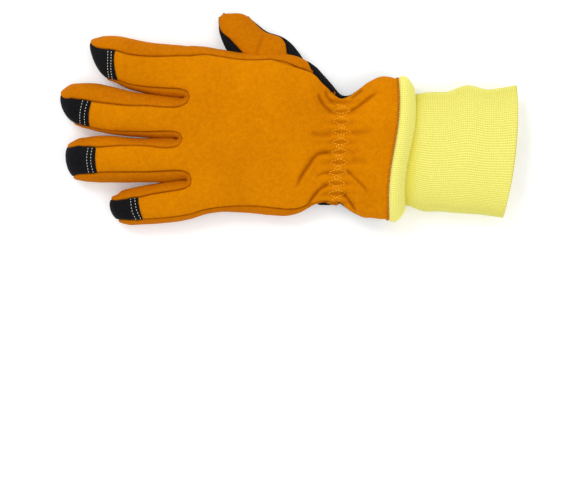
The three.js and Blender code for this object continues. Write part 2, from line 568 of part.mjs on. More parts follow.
// Pull tab: leaves the palm-side hem at its own curve and comes down flat over the knit
const hem = hand[hand.length - 1];
const hemShare = (across) => clamp((hem.cT - across) / (hem.cT - hem.cL), 0, 1);
const hemAlong = (across) =>
  mix(hem.aT, hem.aL, hemShare(across)) + hemWave(hand.length - 1, hemShare(across));
const hemPalmHeight = (across) => {
  const share = hemShare(across);
  const fall = (1 - Math.abs(2 * share - 1) ** HEM_PALM_POWER) ** (1 / hem.round);
  return mix(mix(hem.pT, hem.pL, share), hem.floor, fall);
};
const tabRows = TAB_ROWS.map(([past, acrossT, acrossL]) =>
  range(TAB_COLUMNS).map((share) => {
    const across = mix(acrossT, acrossL, share);
    const height = mix(hemPalmHeight(across), TAB_LEVEL, smooth(past / TAB_DROP));
    return place(hemAlong(across) + past, across, height);
  }),
);
addStrip("pull_tab", tabRows, tabRows.map((row) => row[0].clone().setZ(2 * HAND_HEIGHT)), true);
panels.get("pull_tab").wall = TAB;

// Knit cuff and the roll at the hem: rings round the same list of angles
const ringSteps = (steps) => range(steps).map((share) => share * Math.PI);
const backAngles = ringSteps(4 * BACK_COLUMNS);
const palmAngles = ringSteps(4 * PALM_COLUMNS);
const ringAngles = [...backAngles, ...reversed(palmAngles).slice(1).map((angle) => -angle)];

function cuffPoint([aT, cT, aL, cL, middle, half, bow], angle, extra) {
  const side = Math.cos(angle);
  const up = Math.sin(angle);
  const across = (cT + cL) / 2 + (((cT - cL) / 2) + extra / PALM_WIDTH) * side;
  const round = Math.abs(up) ** (2 / CUFF_POWER) * Math.sign(up);
  const along = mix(aT, aL, (1 - side) / 2) + bow * (1 - side * side);
  return place(along, across, middle + (half + extra / HAND_HEIGHT) * round);
}
const cuffRows = CUFF_ROWS.map((row) => ringAngles.map((angle) => cuffPoint(row, angle, 0)));
const cuffCore = CUFF_ROWS.map(([aT, cT, aL, cL, middle]) => place((aT + aL) / 2, (cT + cL) / 2, middle));
addStrip("cuff_knit", cuffRows, cuffCore, true);
panels.get("cuff_knit").wall = KNIT;

const hemBack = backRows[backRows.length - 1];
const hemPalm = palmRows[palmRows.length - 1];
const hemLoop = [...hemBack, ...reversed(hemPalm).slice(1)];
const hemOut = hemLoop.map((point, k) => {
  const next = hemLoop[(k + 1) % (hemLoop.length - 1)];
  const before = hemLoop[(k - 1 + hemLoop.length - 1) % (hemLoop.length - 1)];
  const run = next.clone().sub(before);
  return new THREE.Vector3(0, run.z, -run.y).normalize();
});
const CREASE_ROW = CUFF_ROWS[2];
const rollRows = ROLL_ROWS.map(([past, inward, swell]) =>
  hemLoop.map((point, k) => {
    const above = smooth((hemOut[k].z - SWELL_FROM) / (SWELL_TO - SWELL_FROM));
    const inset = LEATHER + FIT - swell * PALM_WIDTH * above;
    const outer = point.clone().addScaledVector(hemOut[k], -inset);
    const inner = cuffPoint(CREASE_ROW, ringAngles[k], FIT);
    const mixed = between(outer, inner, inward);
    return mixed.setX(point.x + past * GLOVE_LENGTH);
  }),
);
addStrip("cuff_roll", rollRows, rollRows.map(() => cuffCore[2]), true);
panels.get("cuff_roll").wall = KNIT;

// Thickening: every point gets an inward step of one wall, shared at a seam by the pieces that meet there,
// so that their edges meet in a mitre; then each piece stands back from the seam by SEAM_PULL.
const keyOf = (point) => [point.x, point.y, point.z].map((value) => Math.round(value * 1e3)).join(" ");

function buildFaces(panel) {
  const points = new Map();
  const faces = [];
  const indexOf = (point) => {
    const key = keyOf(point);
    if (!points.has(key)) points.set(key, { key, point: point.clone(), normal: new THREE.Vector3() });
    return key;
  };
  const at = (key) => points.get(key).point;
  for (const { grid, core } of panel.strips) {
    const own = [];
    let facing = 0;
    for (let i = 0; i + 1 < grid.length; i += 1) {
      for (let j = 0; j + 1 < grid[i].length; j += 1) {
        const corners = [grid[i][j], grid[i + 1][j], grid[i + 1][j + 1], grid[i][j + 1]].map(indexOf);
        for (const face of [[corners[0], corners[1], corners[2]], [corners[0], corners[2], corners[3]]]) {
          if (new Set(face).size < 3) continue;
          const [a, b, c] = face.map(at);
          const normal = b.clone().sub(a).cross(c.clone().sub(a));
          const middle = a.clone().add(b).add(c).multiplyScalar(1 / 3);
          facing += normal.dot(middle.sub(core[i]));
          own.push(face);
        }
      }
    }
    faces.push(...(facing < 0 ? own.map(([a, b, c]) => [a, c, b]) : own));
  }
  for (const [a, b, c] of faces) {
    const normal = at(b).clone().sub(at(a)).cross(at(c).clone().sub(at(a))).normalize();
    for (const [p, q, r] of [[a, b, c], [b, c, a], [c, a, b]]) {
      const angle = at(q).clone().sub(at(p)).angleTo(at(r).clone().sub(at(p)));
      points.get(p).normal.addScaledVector(normal, angle);
    }
  }
  for (const entry of points.values()) entry.normal.normalize();
  return { points, faces };
}

// The step that lies one wall behind every one of the given faces.
function mitre(normals, wall) {
  const m = new THREE.Matrix3().multiplyScalar(MITRE_SOFTNESS);
  const sum = new THREE.Vector3();
  for (const n of normals) {
    const e = m.elements;
    const v = [n.x, n.y, n.z];
    for (let r = 0; r < 3; r += 1) {
      for (let c = 0; c < 3; c += 1) e[c * 3 + r] += v[r] * v[c];
    }
    sum.addScaledVector(n, -wall);
  }
  const step = sum.applyMatrix3(m.invert());
  return step.length() > MITRE_LIMIT * wall ? step.setLength(MITRE_LIMIT * wall) : step;
}

const built = new Map([...panels].map(([name, panel]) => [name, buildFaces(panel)]));
const meeting = new Map();
for (const [name, { points }] of built) {
  if (panels.get(name).free) continue;
  for (const [key, entry] of points) {
    if (!meeting.has(key)) meeting.set(key, []);
    meeting.get(key).push(entry.normal);
  }
}

// Inward step of every point of a panel
function inwardSteps(name) {
  const panel = panels.get(name);
  const { points } = built.get(name);
  const steps = new Map();
  const direct = (key) => {
    const shared = panel.free ? [] : meeting.get(key);
    if (shared.length > 1) return mitre(shared, panel.wall);
    return points.get(key).normal.clone().multiplyScalar(-panel.wall);
  };
  for (const { grid } of panel.strips) {
    for (const row of grid) {
      const keys = row.map(keyOf);
      const ends = [direct(keys[0]), direct(keys[keys.length - 1])];
      keys.forEach((key, j) => {
        const edge = j === 0 || j === keys.length - 1;
        if (panel.free || edge || meeting.get(key).length > 1) {
          steps.set(key, direct(key));
          return;
        }
        const step = between(ends[0], ends[1], j / (keys.length - 1));
        const normal = points.get(key).normal;
        steps.set(key, step.addScaledVector(normal, -panel.wall - step.dot(normal)));
      });
    }
  }
  return steps;
}

// Closed shell of a panel, as a position list and a triangle list
function shell(name) {
  const panel = panels.get(name);
  const { points, faces } = built.get(name);
  const steps = inwardSteps(name);
  const edges = new Map();
  for (const face of faces) {
    face.forEach((a, i) => edges.set(a + "|" + face[(i + 1) % 3], [a, face[(i + 1) % 3], face]));
  }
  const rim = [...edges.values()].filter(([a, b]) => !edges.has(b + "|" + a));
  const pull = new Map();
  for (const [a, b, face] of rim) {
    const corner = face.find((key) => key !== a && key !== b);
    const [pa, pb, pc] = [a, b, corner].map((key) => points.get(key).point);
    const run = pb.clone().sub(pa).normalize();
    const inward = pc.clone().sub(pa);
    inward.addScaledVector(run, -inward.dot(run)).normalize();
    for (const key of [a, b]) {
      if (!pull.has(key)) pull.set(key, []);
      pull.get(key).push(inward.clone().negate());
    }
  }
  const order = [...points.keys()];
  const number = new Map(order.map((key, i) => [key, i]));
  const outer = [];
  const inner = [];
  for (const key of order) {
    const at = points.get(key).point.clone();
    if (pull.has(key)) at.add(mitre(pull.get(key), panel.free ? 0 : SEAM_PULL));
    outer.push(at.x, at.y, at.z);
    at.add(steps.get(key));
    inner.push(at.x, at.y, at.z);
  }
  const count = order.length;
  const triangles = [];
  for (const face of faces) {
    const [a, b, c] = face.map((key) => number.get(key));
    triangles.push(a, b, c, count + a, count + c, count + b);
  }
  for (const [a, b] of rim) {
    const [i, j] = [number.get(a), number.get(b)];
    triangles.push(j, i, count + i, j, count + i, count + j);
  }
  return { positions: [...outer, ...inner], triangles };
}

const wasm = await Module();
wasm.setup();
const solidFrom = ({ positions, triangles }) =>
  new wasm.Manifold(
    new wasm.Mesh({
      numProp: 3,
      vertProperties: new Float32Array(positions),
      triVerts: new Uint32Array(triangles),
    }),
  );

// A closed solid through a list of rings, with flat ends
function loft(rings) {
  const count = rings[0].length;
  const positions = rings.flatMap((ring) => ring.flatMap((p) => [p.x, p.y, p.z]));
  const triangles = [];
  for (let i = 0; i + 1 < rings.length; i += 1) {
    for (let k = 0; k < count; k += 1) {
      const next = (k + 1) % count;
      const [a, b, c, d] = [i * count + k, i * count + next, (i + 1) * count + next, (i + 1) * count + k];
      triangles.push(a, b, c, a, c, d);
    }
  }
  [0, rings.length - 1].forEach((i, end) => {
    const ring = rings[i];
    const middle = ring.reduce((sum, p) => sum.add(p), new THREE.Vector3()).multiplyScalar(1 / count);
    const hub = positions.length / 3;
    positions.push(middle.x, middle.y, middle.z);
    for (let k = 0; k < count; k += 1) {
      const pair = [i * count + k, i * count + ((k + 1) % count)];
      triangles.push(...(end ? [pair[0], pair[1], hub] : [pair[1], pair[0], hub]));
    }
  });
  const solid = solidFrom({ positions, triangles });
  if (solid.volume() > 0) return solid;
  const turned = [];
  for (let t = 0; t < triangles.length; t += 3) {
    turned.push(triangles[t], triangles[t + 2], triangles[t + 1]);
  }
  return solidFrom({ positions, triangles: turned });
}

// Solid that fills the thumb, grown by the clearance, and the hollow of the hand
const steps = new Map([...panels.keys()].map((name) => [name, inwardSteps(name)]));
const moved = (name, point, share) =>
  point.clone().addScaledVector(steps.get(name).get(keyOf(point)), share);
const GROW = -FIT / LEATHER;
const thumbSolid = loft(
  thumb.slice(1).map((_, index) => {
    const i = index + 1;
    return [
      ...thumbBackRows[i].map((p) => moved("thumb_back", p, GROW)),
      ...reversed(thumbFrontRows[i]).slice(1, -1).map((p) => moved("thumb_front", p, GROW)),
    ];
  }),
);
const hollow = loft(
  backRows.slice(1, WRIST_ROW - 1).map((back, index) => {
    const palm = reversed(palmRows[index + 1]).filter((p) => keyOf(p) !== keyOf(back[0]));
    return [
      ...back.map((p) => moved("back_panel", p, 1)),
      ...palm.map((p) => moved("palm_panel", p, 1)),
    ];
  }),
);

const COLOURS = {
  tan: { color: 0xd98a12, roughness: 0.9 },
  black: { color: 0x17181c, roughness: 0.85 },
  yellow: { color: 0xf0ea78, roughness: 0.95 },
};
const COLOUR_OF = {
  back_panel: "tan",
  sidewall_index: "tan",
  fourchette_index_middle: "tan",
  fourchette_middle_ring: "tan",
  fourchette_ring_little: "tan",
  sidewall_pinky: "tan",
  thumb_back: "tan",
  palm_panel: "black",
  palm_patch: "black",
  thumb_front: "black",
  pull_tab: "black",
  cuff_roll: "yellow",
  cuff_knit: "yellow",
};
const THUMB_HOLE = ["sidewall_index", "palm_panel", "palm_patch"];
const THUMB_SHELLS = ["thumb_back", "thumb_front"];

const group = new THREE.Group();
for (const name of panels.keys()) {
  let solid = solidFrom(shell(name));
  if (THUMB_HOLE.includes(name)) solid = solid.subtract(thumbSolid);
  if (THUMB_SHELLS.includes(name)) solid = solid.subtract(hollow);
  const bodies = solid.decompose().sort((a, b) => b.volume() - a.volume());
  const { vertProperties, triVerts } = bodies[0].getMesh();
  const geometry = new THREE.BufferGeometry()
    .setAttribute("position", new THREE.BufferAttribute(new Float32Array(vertProperties), 3))
    .setIndex([...triVerts]);
  const mesh = new THREE.Mesh(
    mergeVertices(geometry),
    new THREE.MeshStandardMaterial({ ...COLOURS[COLOUR_OF[name]], metalness: 0 }),
  );
  mesh.name = name;
  group.add(mesh);
}

export default group;
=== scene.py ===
# %% [markdown]
# # A structural firefighter glove
# The glove lies palm down: a golden suede back, black suede on the palm, the fingertips and the thumb,
# and a lemon-yellow knit cuff that rolls out over the hem.
# Each leather piece is a sheet between sewn seams, so the seams are worked out first, from the same tables
# that shape the solids, and each sheet is then a grid of points between two of them.
# Sculpting would give folds faster, but a grid keeps its sizes, and stitches can be laid on it exactly.

import math
import bpy
import numpy as np
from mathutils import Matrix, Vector
from mathutils.bvhtree import BVHTree
from mathutils.kdtree import KDTree


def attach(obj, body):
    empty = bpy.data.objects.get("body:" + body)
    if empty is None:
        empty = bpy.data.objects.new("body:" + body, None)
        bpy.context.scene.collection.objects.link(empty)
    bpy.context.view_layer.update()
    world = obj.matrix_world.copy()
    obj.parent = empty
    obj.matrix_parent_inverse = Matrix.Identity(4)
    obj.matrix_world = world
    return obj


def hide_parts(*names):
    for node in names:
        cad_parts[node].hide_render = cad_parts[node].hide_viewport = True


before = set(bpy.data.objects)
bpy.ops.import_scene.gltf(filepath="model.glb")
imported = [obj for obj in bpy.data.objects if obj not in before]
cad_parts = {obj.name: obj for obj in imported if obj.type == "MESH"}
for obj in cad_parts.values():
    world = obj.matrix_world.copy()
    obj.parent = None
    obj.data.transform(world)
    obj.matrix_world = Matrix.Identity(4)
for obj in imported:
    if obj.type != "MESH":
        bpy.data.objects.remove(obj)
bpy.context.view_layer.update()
print("solids to dress:", len(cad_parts))

# %% [markdown]
# ## The sections
# The tables hold shares of three sizes: the length from the middle fingertip to the cuff, the width across
# the knuckles and the height of the back of the hand. One line is one section through a finger, the hand,
# the thumb or the cuff. A smooth curve is drawn through the lines, which gives sections as close as wished.

# %% Main sizes, in metres
LENGTH = 0.3305
WIDTH = 0.118
HEIGHT = 0.030
ORIGIN_ALONG = 0.416
HEM_WAVE = 0.0057  # share of the length by which the hem swings to and fro

# %% Fingers: seams of the back (along, across) on both sides, heights, palm seams' heights and lean, bulges
FINGER_ROWS = {
    "index": [
        [0.065, 0.527, 0.1, 0.323, 0.7, 0.517, 0.14, 0.073, 0.0635, 0.0339, 0.022, 0.022, 0.0169],
        [0.09, 0.515, 0.119, 0.318, 0.727, 0.527, 0.133, 0.053, 0.0762, 0.0381, 0.022, 0.0339, 0.0203],
        [0.125, 0.5, 0.129, 0.313, 0.75, 0.533, 0.133, 0.047, 0.0915, 0.0423, 0.0203, 0.0423, 0.0305],
        [0.155, 0.477, 0.153, 0.29, 0.767, 0.553, 0.14, 0.047, 0.0932, 0.044, 0.0195, 0.0491, 0.0423],
        [0.194, 0.466, 0.194, 0.274, 0.78, 0.587, 0.15, 0.053, 0.0796, 0.0423, 0.0186, 0.0457, 0.0542],
        [0.231, 0.467, 0.231, 0.267, 0.773, 0.653, 0.16, 0.06, 0.0644, 0.0356, 0.0161, 0.0407, 0.0618],
        [0.259, 0.47, 0.261, 0.262, 0.76, 0.747, 0.173, 0.067, 0.0525, 0.0254, 0.0119, 0.033, 0.0593],
        [0.277, 0.471, 0.279, 0.246, 0.747, 0.853, 0.18, 0.07, 0.0423, 0.0127, 0.0068, 0.0254, 0.0373],
    ],
    "middle": [
        [0.001, 0.195, 0.028, 0.054, 0.683, 0.453, 0.147, 0.067, 0.0813, 0.0254, 0.022, 0.0271, 0.0169],
        [0.026, 0.212, 0.049, 0.041, 0.72, 0.473, 0.14, 0.053, 0.0915, 0.0339, 0.022, 0.0373, 0.0203],
        [0.073, 0.19, 0.067, 0.03, 0.76, 0.487, 0.14, 0.047, 0.1016, 0.039, 0.0203, 0.0627, 0.0237],
        [0.107, 0.177, 0.105, 0.01, 0.793, 0.513, 0.14, 0.047, 0.0915, 0.0407, 0.0195, 0.0661, 0.0305],
        [0.15, 0.166, 0.15, 0.001, 0.82, 0.567, 0.133, 0.05, 0.0728, 0.0407, 0.0186, 0.0542, 0.0415],
        [0.194, 0.165, 0.194, 0, 0.84, 0.64, 0.12, 0.057, 0.0576, 0.0356, 0.0169, 0.0398, 0.044],
        [0.231, 0.157, 0.227, 0.002, 0.867, 0.74, 0.1, 0.063, 0.0407, 0.0254, 0.0136, 0.0373, 0.0432],
        [0.261, 0.159, 0.252, -0.001, 0.893, 0.84, 0.08, 0.067, 0.0254, 0.0152, 0.0093, 0.0373, 0.0364],
        [0.278, 0.182, 0.264, -0.016, 0.913, 0.92, 0.07, 0.07, 0.0102, 0.0051, 0.0051, 0.0229, 0.0178],
    ],
    "ring": [
        [0.015, -0.095, 0.028, -0.259, 0.667, 0.633, 0.107, 0.107, 0.0305, -0.022, 0.022, 0.0152, 0.0203],
        [0.041, -0.073, 0.054, -0.257, 0.693, 0.66, 0.093, 0.093, 0.039, -0.0271, 0.022, 0.0212, 0.0246],
        [0.083, -0.085, 0.085, -0.248, 0.727, 0.687, 0.08, 0.08, 0.0423, -0.0322, 0.0203, 0.0474, 0.039],
        [0.115, -0.078, 0.115, -0.244, 0.76, 0.707, 0.073, 0.073, 0.0407, -0.0339, 0.0195, 0.0415, 0.0415],
        [0.155, -0.072, 0.155, -0.244, 0.793, 0.72, 0.07, 0.07, 0.0373, -0.0322, 0.0186, 0.0254, 0.0415],
        [0.194, -0.076, 0.194, -0.243, 0.827, 0.733, 0.067, 0.067, 0.0322, -0.0271, 0.0169, 0.0254, 0.0398],
        [0.227, -0.089, 0.229, -0.238, 0.867, 0.76, 0.067, 0.067, 0.0237, -0.0203, 0.0136, 0.0415, 0.044],
        [0.252, -0.085, 0.266, -0.237, 0.907, 0.793, 0.067, 0.067, 0.0152, -0.0119, 0.0093, 0.0423, 0.0398],
        [0.264, -0.066, 0.283, -0.256, 0.933, 0.827, 0.067, 0.067, 0.0068, -0.0051, 0.0051, 0.0263, 0.0237],
    ],
    "little": [
        [0.11, -0.412, 0.126, -0.532, 0.587, 0.547, 0.107, 0.107, 0.022, -0.0051, 0.0203, 0.0186, 0.0169],
        [0.134, -0.404, 0.153, -0.54, 0.613, 0.573, 0.093, 0.093, 0.0271, -0.0068, 0.0203, 0.039, 0.0203],
        [0.174, -0.389, 0.185, -0.532, 0.647, 0.6, 0.08, 0.08, 0.0322, -0.0068, 0.0195, 0.0474, 0.0237],
        [0.198, -0.373, 0.209, -0.529, 0.673, 0.613, 0.073, 0.08, 0.0322, -0.0068, 0.0186, 0.044, 0.0237],
        [0.227, -0.359, 0.235, -0.523, 0.707, 0.623, 0.067, 0.093, 0.0288, -0.0068, 0.0169, 0.044, 0.0237],
        [0.255, -0.348, 0.259, -0.515, 0.747, 0.63, 0.067, 0.113, 0.022, -0.0068, 0.0136, 0.044, 0.0237],
        [0.273, -0.337, 0.273, -0.507, 0.78, 0.633, 0.067, 0.133, 0.0152, -0.0068, 0.0093, 0.0415, 0.0237],
        [0.284, -0.32, 0.282, -0.502, 0.813, 0.633, 0.067, 0.15, 0.0076, -0.0068, 0.0051, 0.0279, 0.0237],
    ],
}

# %% The hand, from the knuckles to the hem
HAND_ROWS = [
    [0.288, 0.472, 0.288, -0.499, 0.733, 0.633, 0.267, 0.183, 0.167, 0.0457, -0.0068, 0.063, 0.0271, 0.022],
    [0.318, 0.48, 0.318, -0.473, 0.753, 0.633, 0.28, 0.187, 0.167, 0.0356, -0.0051, 0.053, 0.0263, 0.0203],
    [0.351, 0.468, 0.351, -0.459, 0.78, 0.633, 0.28, 0.193, 0.167, 0.0271, -0.0051, 0.053, 0.0305, 0.0203],
    [0.388, 0.451, 0.388, -0.451, 0.807, 0.633, 0.267, 0.207, 0.167, 0.0237, -0.0068, 0.053, 0.0322, 0.0305],
    [0.427, 0.446, 0.427, -0.452, 0.82, 0.627, 0.253, 0.22, 0.167, 0.0237, -0.0085, 0.053, 0.0305, 0.0373],
    [0.464, 0.448, 0.464, -0.461, 0.82, 0.613, 0.253, 0.247, 0.167, 0.0237, -0.0085, 0.053, 0.0322, 0.0373],
    [0.495, 0.427, 0.495, -0.47, 0.8, 0.6, 0.26, 0.3, 0.18, 0.0322, -0.0068, 0.053, 0.039, 0.0339],
    [0.519, 0.402, 0.519, -0.467, 0.76, 0.58, 0.273, 0.38, 0.207, 0.0423, -0.0051, 0.053, 0.0423, 0.0237],
    [0.538, 0.384, 0.538, -0.451, 0.72, 0.56, 0.287, 0.48, 0.253, 0.0423, -0.0017, 0.053, 0.0305, 0.0152],
    [0.556, 0.363, 0.556, -0.432, 0.68, 0.54, 0.3, 0.68, 0.307, 0, 0, 0.057, 0, 0.0076],
    [0.575, 0.308, 0.573, -0.423, 0.627, 0.52, 0.32, 0.627, 0.367, 0, 0, 0.067, 0, 0.0034],
    [0.595, 0.256, 0.593, -0.424, 0.58, 0.5, 0.333, 0.58, 0.433, 0, 0, 0.083, 0, 0.0017],
    [0.613, 0.217, 0.61, -0.433, 0.547, 0.487, 0.353, 0.547, 0.487, 0, 0, 0.093, 0, 0],
    [0.63, 0.228, 0.625, -0.463, 0.547, 0.507, 0.413, 0.547, 0.507, 0, 0, 0.06, 0, 0],
    [0.649, 0.262, 0.643, -0.496, 0.56, 0.533, 0.493, 0.56, 0.533, 0, 0, 0.033, 0, 0],
    [0.671, 0.307, 0.662, -0.52, 0.58, 0.56, 0.547, 0.58, 0.56, 0, 0, 0.02, 0, 0],
    [0.693, 0.339, 0.68, -0.524, 0.597, 0.58, 0.58, 0.597, 0.58, 0, 0, 0.013, 0, 0],
    [0.715, 0.346, 0.697, -0.529, 0.607, 0.593, 0.593, 0.607, 0.593, 0, 0, 0.013, 0, 0],
    [0.735, 0.332, 0.714, -0.53, 0.613, 0.6, 0.593, 0.613, 0.6, 0, 0, 0.013, 0, 0],
]
OVAL_AND_ROLL = [  # how oval each of these sections is, and how far the palm's edge rolls up beside it
    (1, 0), (1, 0), (1, 0), (1, 0), (1.02, 0), (1.05, 0), (1.1, 0),
    (1.2, 0.0136), (1.3, 0.0508), (1.45, 0.0796), (1.6, 0.0762), (1.8, 0.0627), (1.95, 0.0373), (2, 0.0119),
    (2, 0), (2, 0), (2, 0), (2, 0), (2, 0),
]
CROTCHES = [
    [0.2854, 0.2165],
    [0.2684, -0.0396],
    [0.2887, -0.2896],
]

# %% Thumb, wear patch, pull tab, cuff and the roll at the hem
THUMB_ROWS = [
    [0.355, 0.729, 0.403, 0.726, 0.3, 0.3, 0, 0, 0, 0],
    [0.345, 0.698, 0.417, 0.699, 0.303, 0.303, 0.187, 0.173, 0.06, 0.03],
    [0.346, 0.649, 0.432, 0.665, 0.307, 0.307, 0.28, 0.253, 0.1, 0.14],
    [0.351, 0.591, 0.455, 0.619, 0.313, 0.32, 0.307, 0.28, 0.22, 0.1],
    [0.361, 0.524, 0.49, 0.585, 0.32, 0.347, 0.313, 0.283, 0.27, 0.1],
    [0.375, 0.457, 0.523, 0.494, 0.34, 0.38, 0.313, 0.287, 0.3, 0.27],
    [0.394, 0.384, 0.542, 0.39, 0.373, 0.42, 0.293, 0.247, 0.3, 0.27],
    [0.42, 0.299, 0.549, 0.274, 0.413, 0.453, 0.253, 0.187, 0.3, 0.27],
    [0.442, 0.226, 0.542, 0.189, 0.447, 0.473, 0.2, 0.14, 0.3, 0.27],
]
PATCH_ROWS = [
    [0.384, 0.322, 0.471],
    [0.323, 0.317, 0.49],
    [0.25, 0.312, 0.502],
    [0.177, 0.31, 0.508],
    [0.104, 0.31, 0.511],
    [0.03, 0.315, 0.516],
    [-0.043, 0.32, 0.519],
    [-0.116, 0.327, 0.521],
    [-0.189, 0.335, 0.523],
    [-0.262, 0.341, 0.524],
    [-0.335, 0.347, 0.524],
    [-0.402, 0.354, 0.524],
]
TAB_ROWS = [
    [0.0013, 0.28, -0.265],
    [0.0174, 0.274, -0.265],
    [0.037, 0.241, -0.259],
    [0.0588, 0.223, -0.237],
    [0.0828, 0.223, -0.226],
    [0.1089, 0.213, -0.213],
    [0.1329, 0.195, -0.192],
    [0.1547, 0.168, -0.159],
    [0.1721, 0.131, -0.113],
    [0.1841, 0.085, -0.061],
    [0.1906, 0.043, -0.018],
]
CUFF_ROWS = [
    [0.712, 0.207, 0.699, -0.427, 0.6, 0.327, 0],
    [0.743, 0.216, 0.725, -0.433, 0.597, 0.327, 0],
    [0.778, 0.23, 0.756, -0.436, 0.58, 0.333, 0],
    [0.795, 0.241, 0.776, -0.455, 0.52, 0.36, 0.0011],
    [0.817, 0.246, 0.797, -0.474, 0.467, 0.38, 0.0022],
    [0.847, 0.248, 0.828, -0.473, 0.453, 0.373, 0.0035],
    [0.88, 0.282, 0.861, -0.482, 0.453, 0.373, 0.0052],
    [0.9, 0.284, 0.88, -0.485, 0.45, 0.37, 0.0065],
    [0.93, 0.263, 0.908, -0.49, 0.44, 0.36, 0.0083],
    [0.961, 0.27, 0.937, -0.499, 0.433, 0.353, 0.01],
    [0.997, 0.289, 0.968, -0.512, 0.43, 0.35, 0.0113],
]
ROLL_ROWS = [
    [-0.0142, 0, 0],
    [0.0015, 0, 0],
    [0.0098, 0, 0.025],
    [0.0207, 0.06, 0.028],
    [0.0305, 0.27, 0.02],
    [0.0383, 0.6, 0.008],
    [0.0383, 1, 0],
]
print("sections:", sum(map(len, FINGER_ROWS.values())), "in the fingers,", len(HAND_ROWS), "in the hand")

# %% [markdown]
# ## From sections to smooth sheets
# A sheet of leather has no corners between the measured sections, so a curve has to be drawn through them.
# Blender's own curves could do that, but a short formula on whole arrays keeps every column of every sheet
# in step, and two sheets that share a seam get the very same points along it.

# %% Curves through the sections
TINY, SAME_PLACE = 1e-12, 1e-7


def hermite(a, b, leave, arrive, s):
    """Curve from a to b with the slopes it leaves and arrives with; s runs from 0 to 1."""
    line = a * (2 * s**3 - 3 * s**2 + 1) + b * (3 * s**2 - 2 * s**3)
    return line + leave * (s**3 - 2 * s**2 + s) + arrive * (s**3 - s**2)


def through(rows, steps):
    """Smooth curve through the rows, `steps` points to each gap."""
    rows = np.asarray(rows, float)
    slope = np.gradient(rows, axis=0)
    s = np.arange(steps).reshape(1, -1, *[1] * (rows.ndim - 1)) / steps
    a, b, da, db = (part[:, None] for part in (rows[:-1], rows[1:], slope[:-1], slope[1:]))
    inside = hermite(a, b, da, db, s)
    return np.concatenate([inside.reshape(-1, *rows.shape[1:]), rows[-1:]])


def place(along, across, height):
    """Point in metres from its three shares."""
    x, y, z = np.broadcast_arrays(along, across, height)
    return np.stack([(x - ORIGIN_ALONG) * LENGTH, y * WIDTH, z * HEIGHT], axis=-1)


def ease(share):
    s = np.clip(share, 0, 1)
    return s * s * (3 - 2 * s)


def mix(a, b, share):
    return a + (b - a) * share


def unit(vectors):
    return vectors / np.maximum(np.linalg.norm(vectors, axis=-1, keepdims=True), TINY)


def bell(away, width, power=2):
    """1 in the middle, falling off smoothly to both sides."""
    return np.exp(-((away / width) ** power))


def half_cosine(share):
    return (1 - np.cos(np.pi * share)) / 2


def closer_at_ends(share):
    """Even shares, set closer together towards both ends, where the leather bends most."""
    return 0.45 * share + 0.55 * half_cosine(share)


# %% How finely each sheet is cut
STEPS = 10  # points between two sections
BACK_CELLS = 34  # columns over one finger's width of the back
PALM_CELLS = 22
SIDE_CELLS = 14
NOSE_STEPS = 10  # points round the end of a fingertip

# %% [markdown]
# ## The hand
# The back of the hand is one wide sheet, domed across and drawn in at the wrist by elastic. The fingers grow
# out of its front edge, where three forks lie, so its columns start under the fingers and spread evenly
# round the oval of the hem.

# %% Columns and rows of the hand
hand = through(np.hstack([HAND_ROWS, OVAL_AND_ROLL]), STEPS)
row_number = np.linspace(0, len(HAND_ROWS) - 1, len(hand))
SIDE_END = (9 * STEPS, 12 * STEPS)  # rows at which the two side strips run out
for end, back_height, palm_height, lean in ((SIDE_END[0], 4, 7, 9), (SIDE_END[1], 5, 8, 10)):
    hand[end:, palm_height], hand[end:, lean] = hand[end:, back_height], 0
(aT, cT, aL, cL, hT, hL, crown, pT, pL, leanT, leanL, low, bulgeT, bulgeL, oval, roll) = hand.T[:, :, None]
WRIST_ROW = 12
knuckle_T, knuckle_L = HAND_ROWS[0][1], HAND_ROWS[0][3]
fork_shares = [(knuckle_T - across) / (knuckle_T - knuckle_L) for _, across in CROTCHES]
fork_shift = [along - HAND_ROWS[0][0] for along, _ in CROTCHES]


def column_shares(cells):
    """Share of the way across, for each row and column."""
    stops = np.array([0, *fork_shares, 1])
    j = np.arange(4 * cells + 1)
    cell = np.minimum(j // cells, 3)
    part = (j - cell * cells) / cells
    knuckle = mix(stops[cell], stops[cell + 1], closer_at_ends(part))
    hem = (1 - np.cos(np.pi * j / (4 * cells))) / 2
    return mix(knuckle, hem, ease(row_number[:, None] / WRIST_ROW))


def drawn_forward(shares, slope):
    """How far the forks pull the leather towards the fingertips."""
    fade = np.interp(row_number, [0, 1, 2, 3], [1, 0.5, 0.15, 0])[:, None]
    pull = [0, *[shift + slope for shift in fork_shift], 0]
    return fade * np.interp(shares, [0, *fork_shares, 1], pull)


def hem_wave(shares):
    """How far the hem swings forward or back, growing from the wrist on."""
    flare = ease((row_number - WRIST_ROW) / (row_number[-1] - WRIST_ROW))[:, None]
    return HEM_WAVE * flare * np.sin(2 * np.pi * shares)


BACK_POWER, PALM_POWER, HEM_POWER = 2.2, 6, 2.5  # 2 is a parabola, more is flatter in the middle
ROLL_REACH = 0.24  # share of the palm's width that rolls up beside the wrist
PEEP_ROW, PEEP_ROWS = 10.25, 1.15  # where the palm shows past the back, on the little finger's side
PEEP_WIDTH, PEEP_EDGE = 0.042, 0.08


def dome(shares, power):
    return (1 - np.abs(2 * shares - 1) ** power) ** (1 / oval)


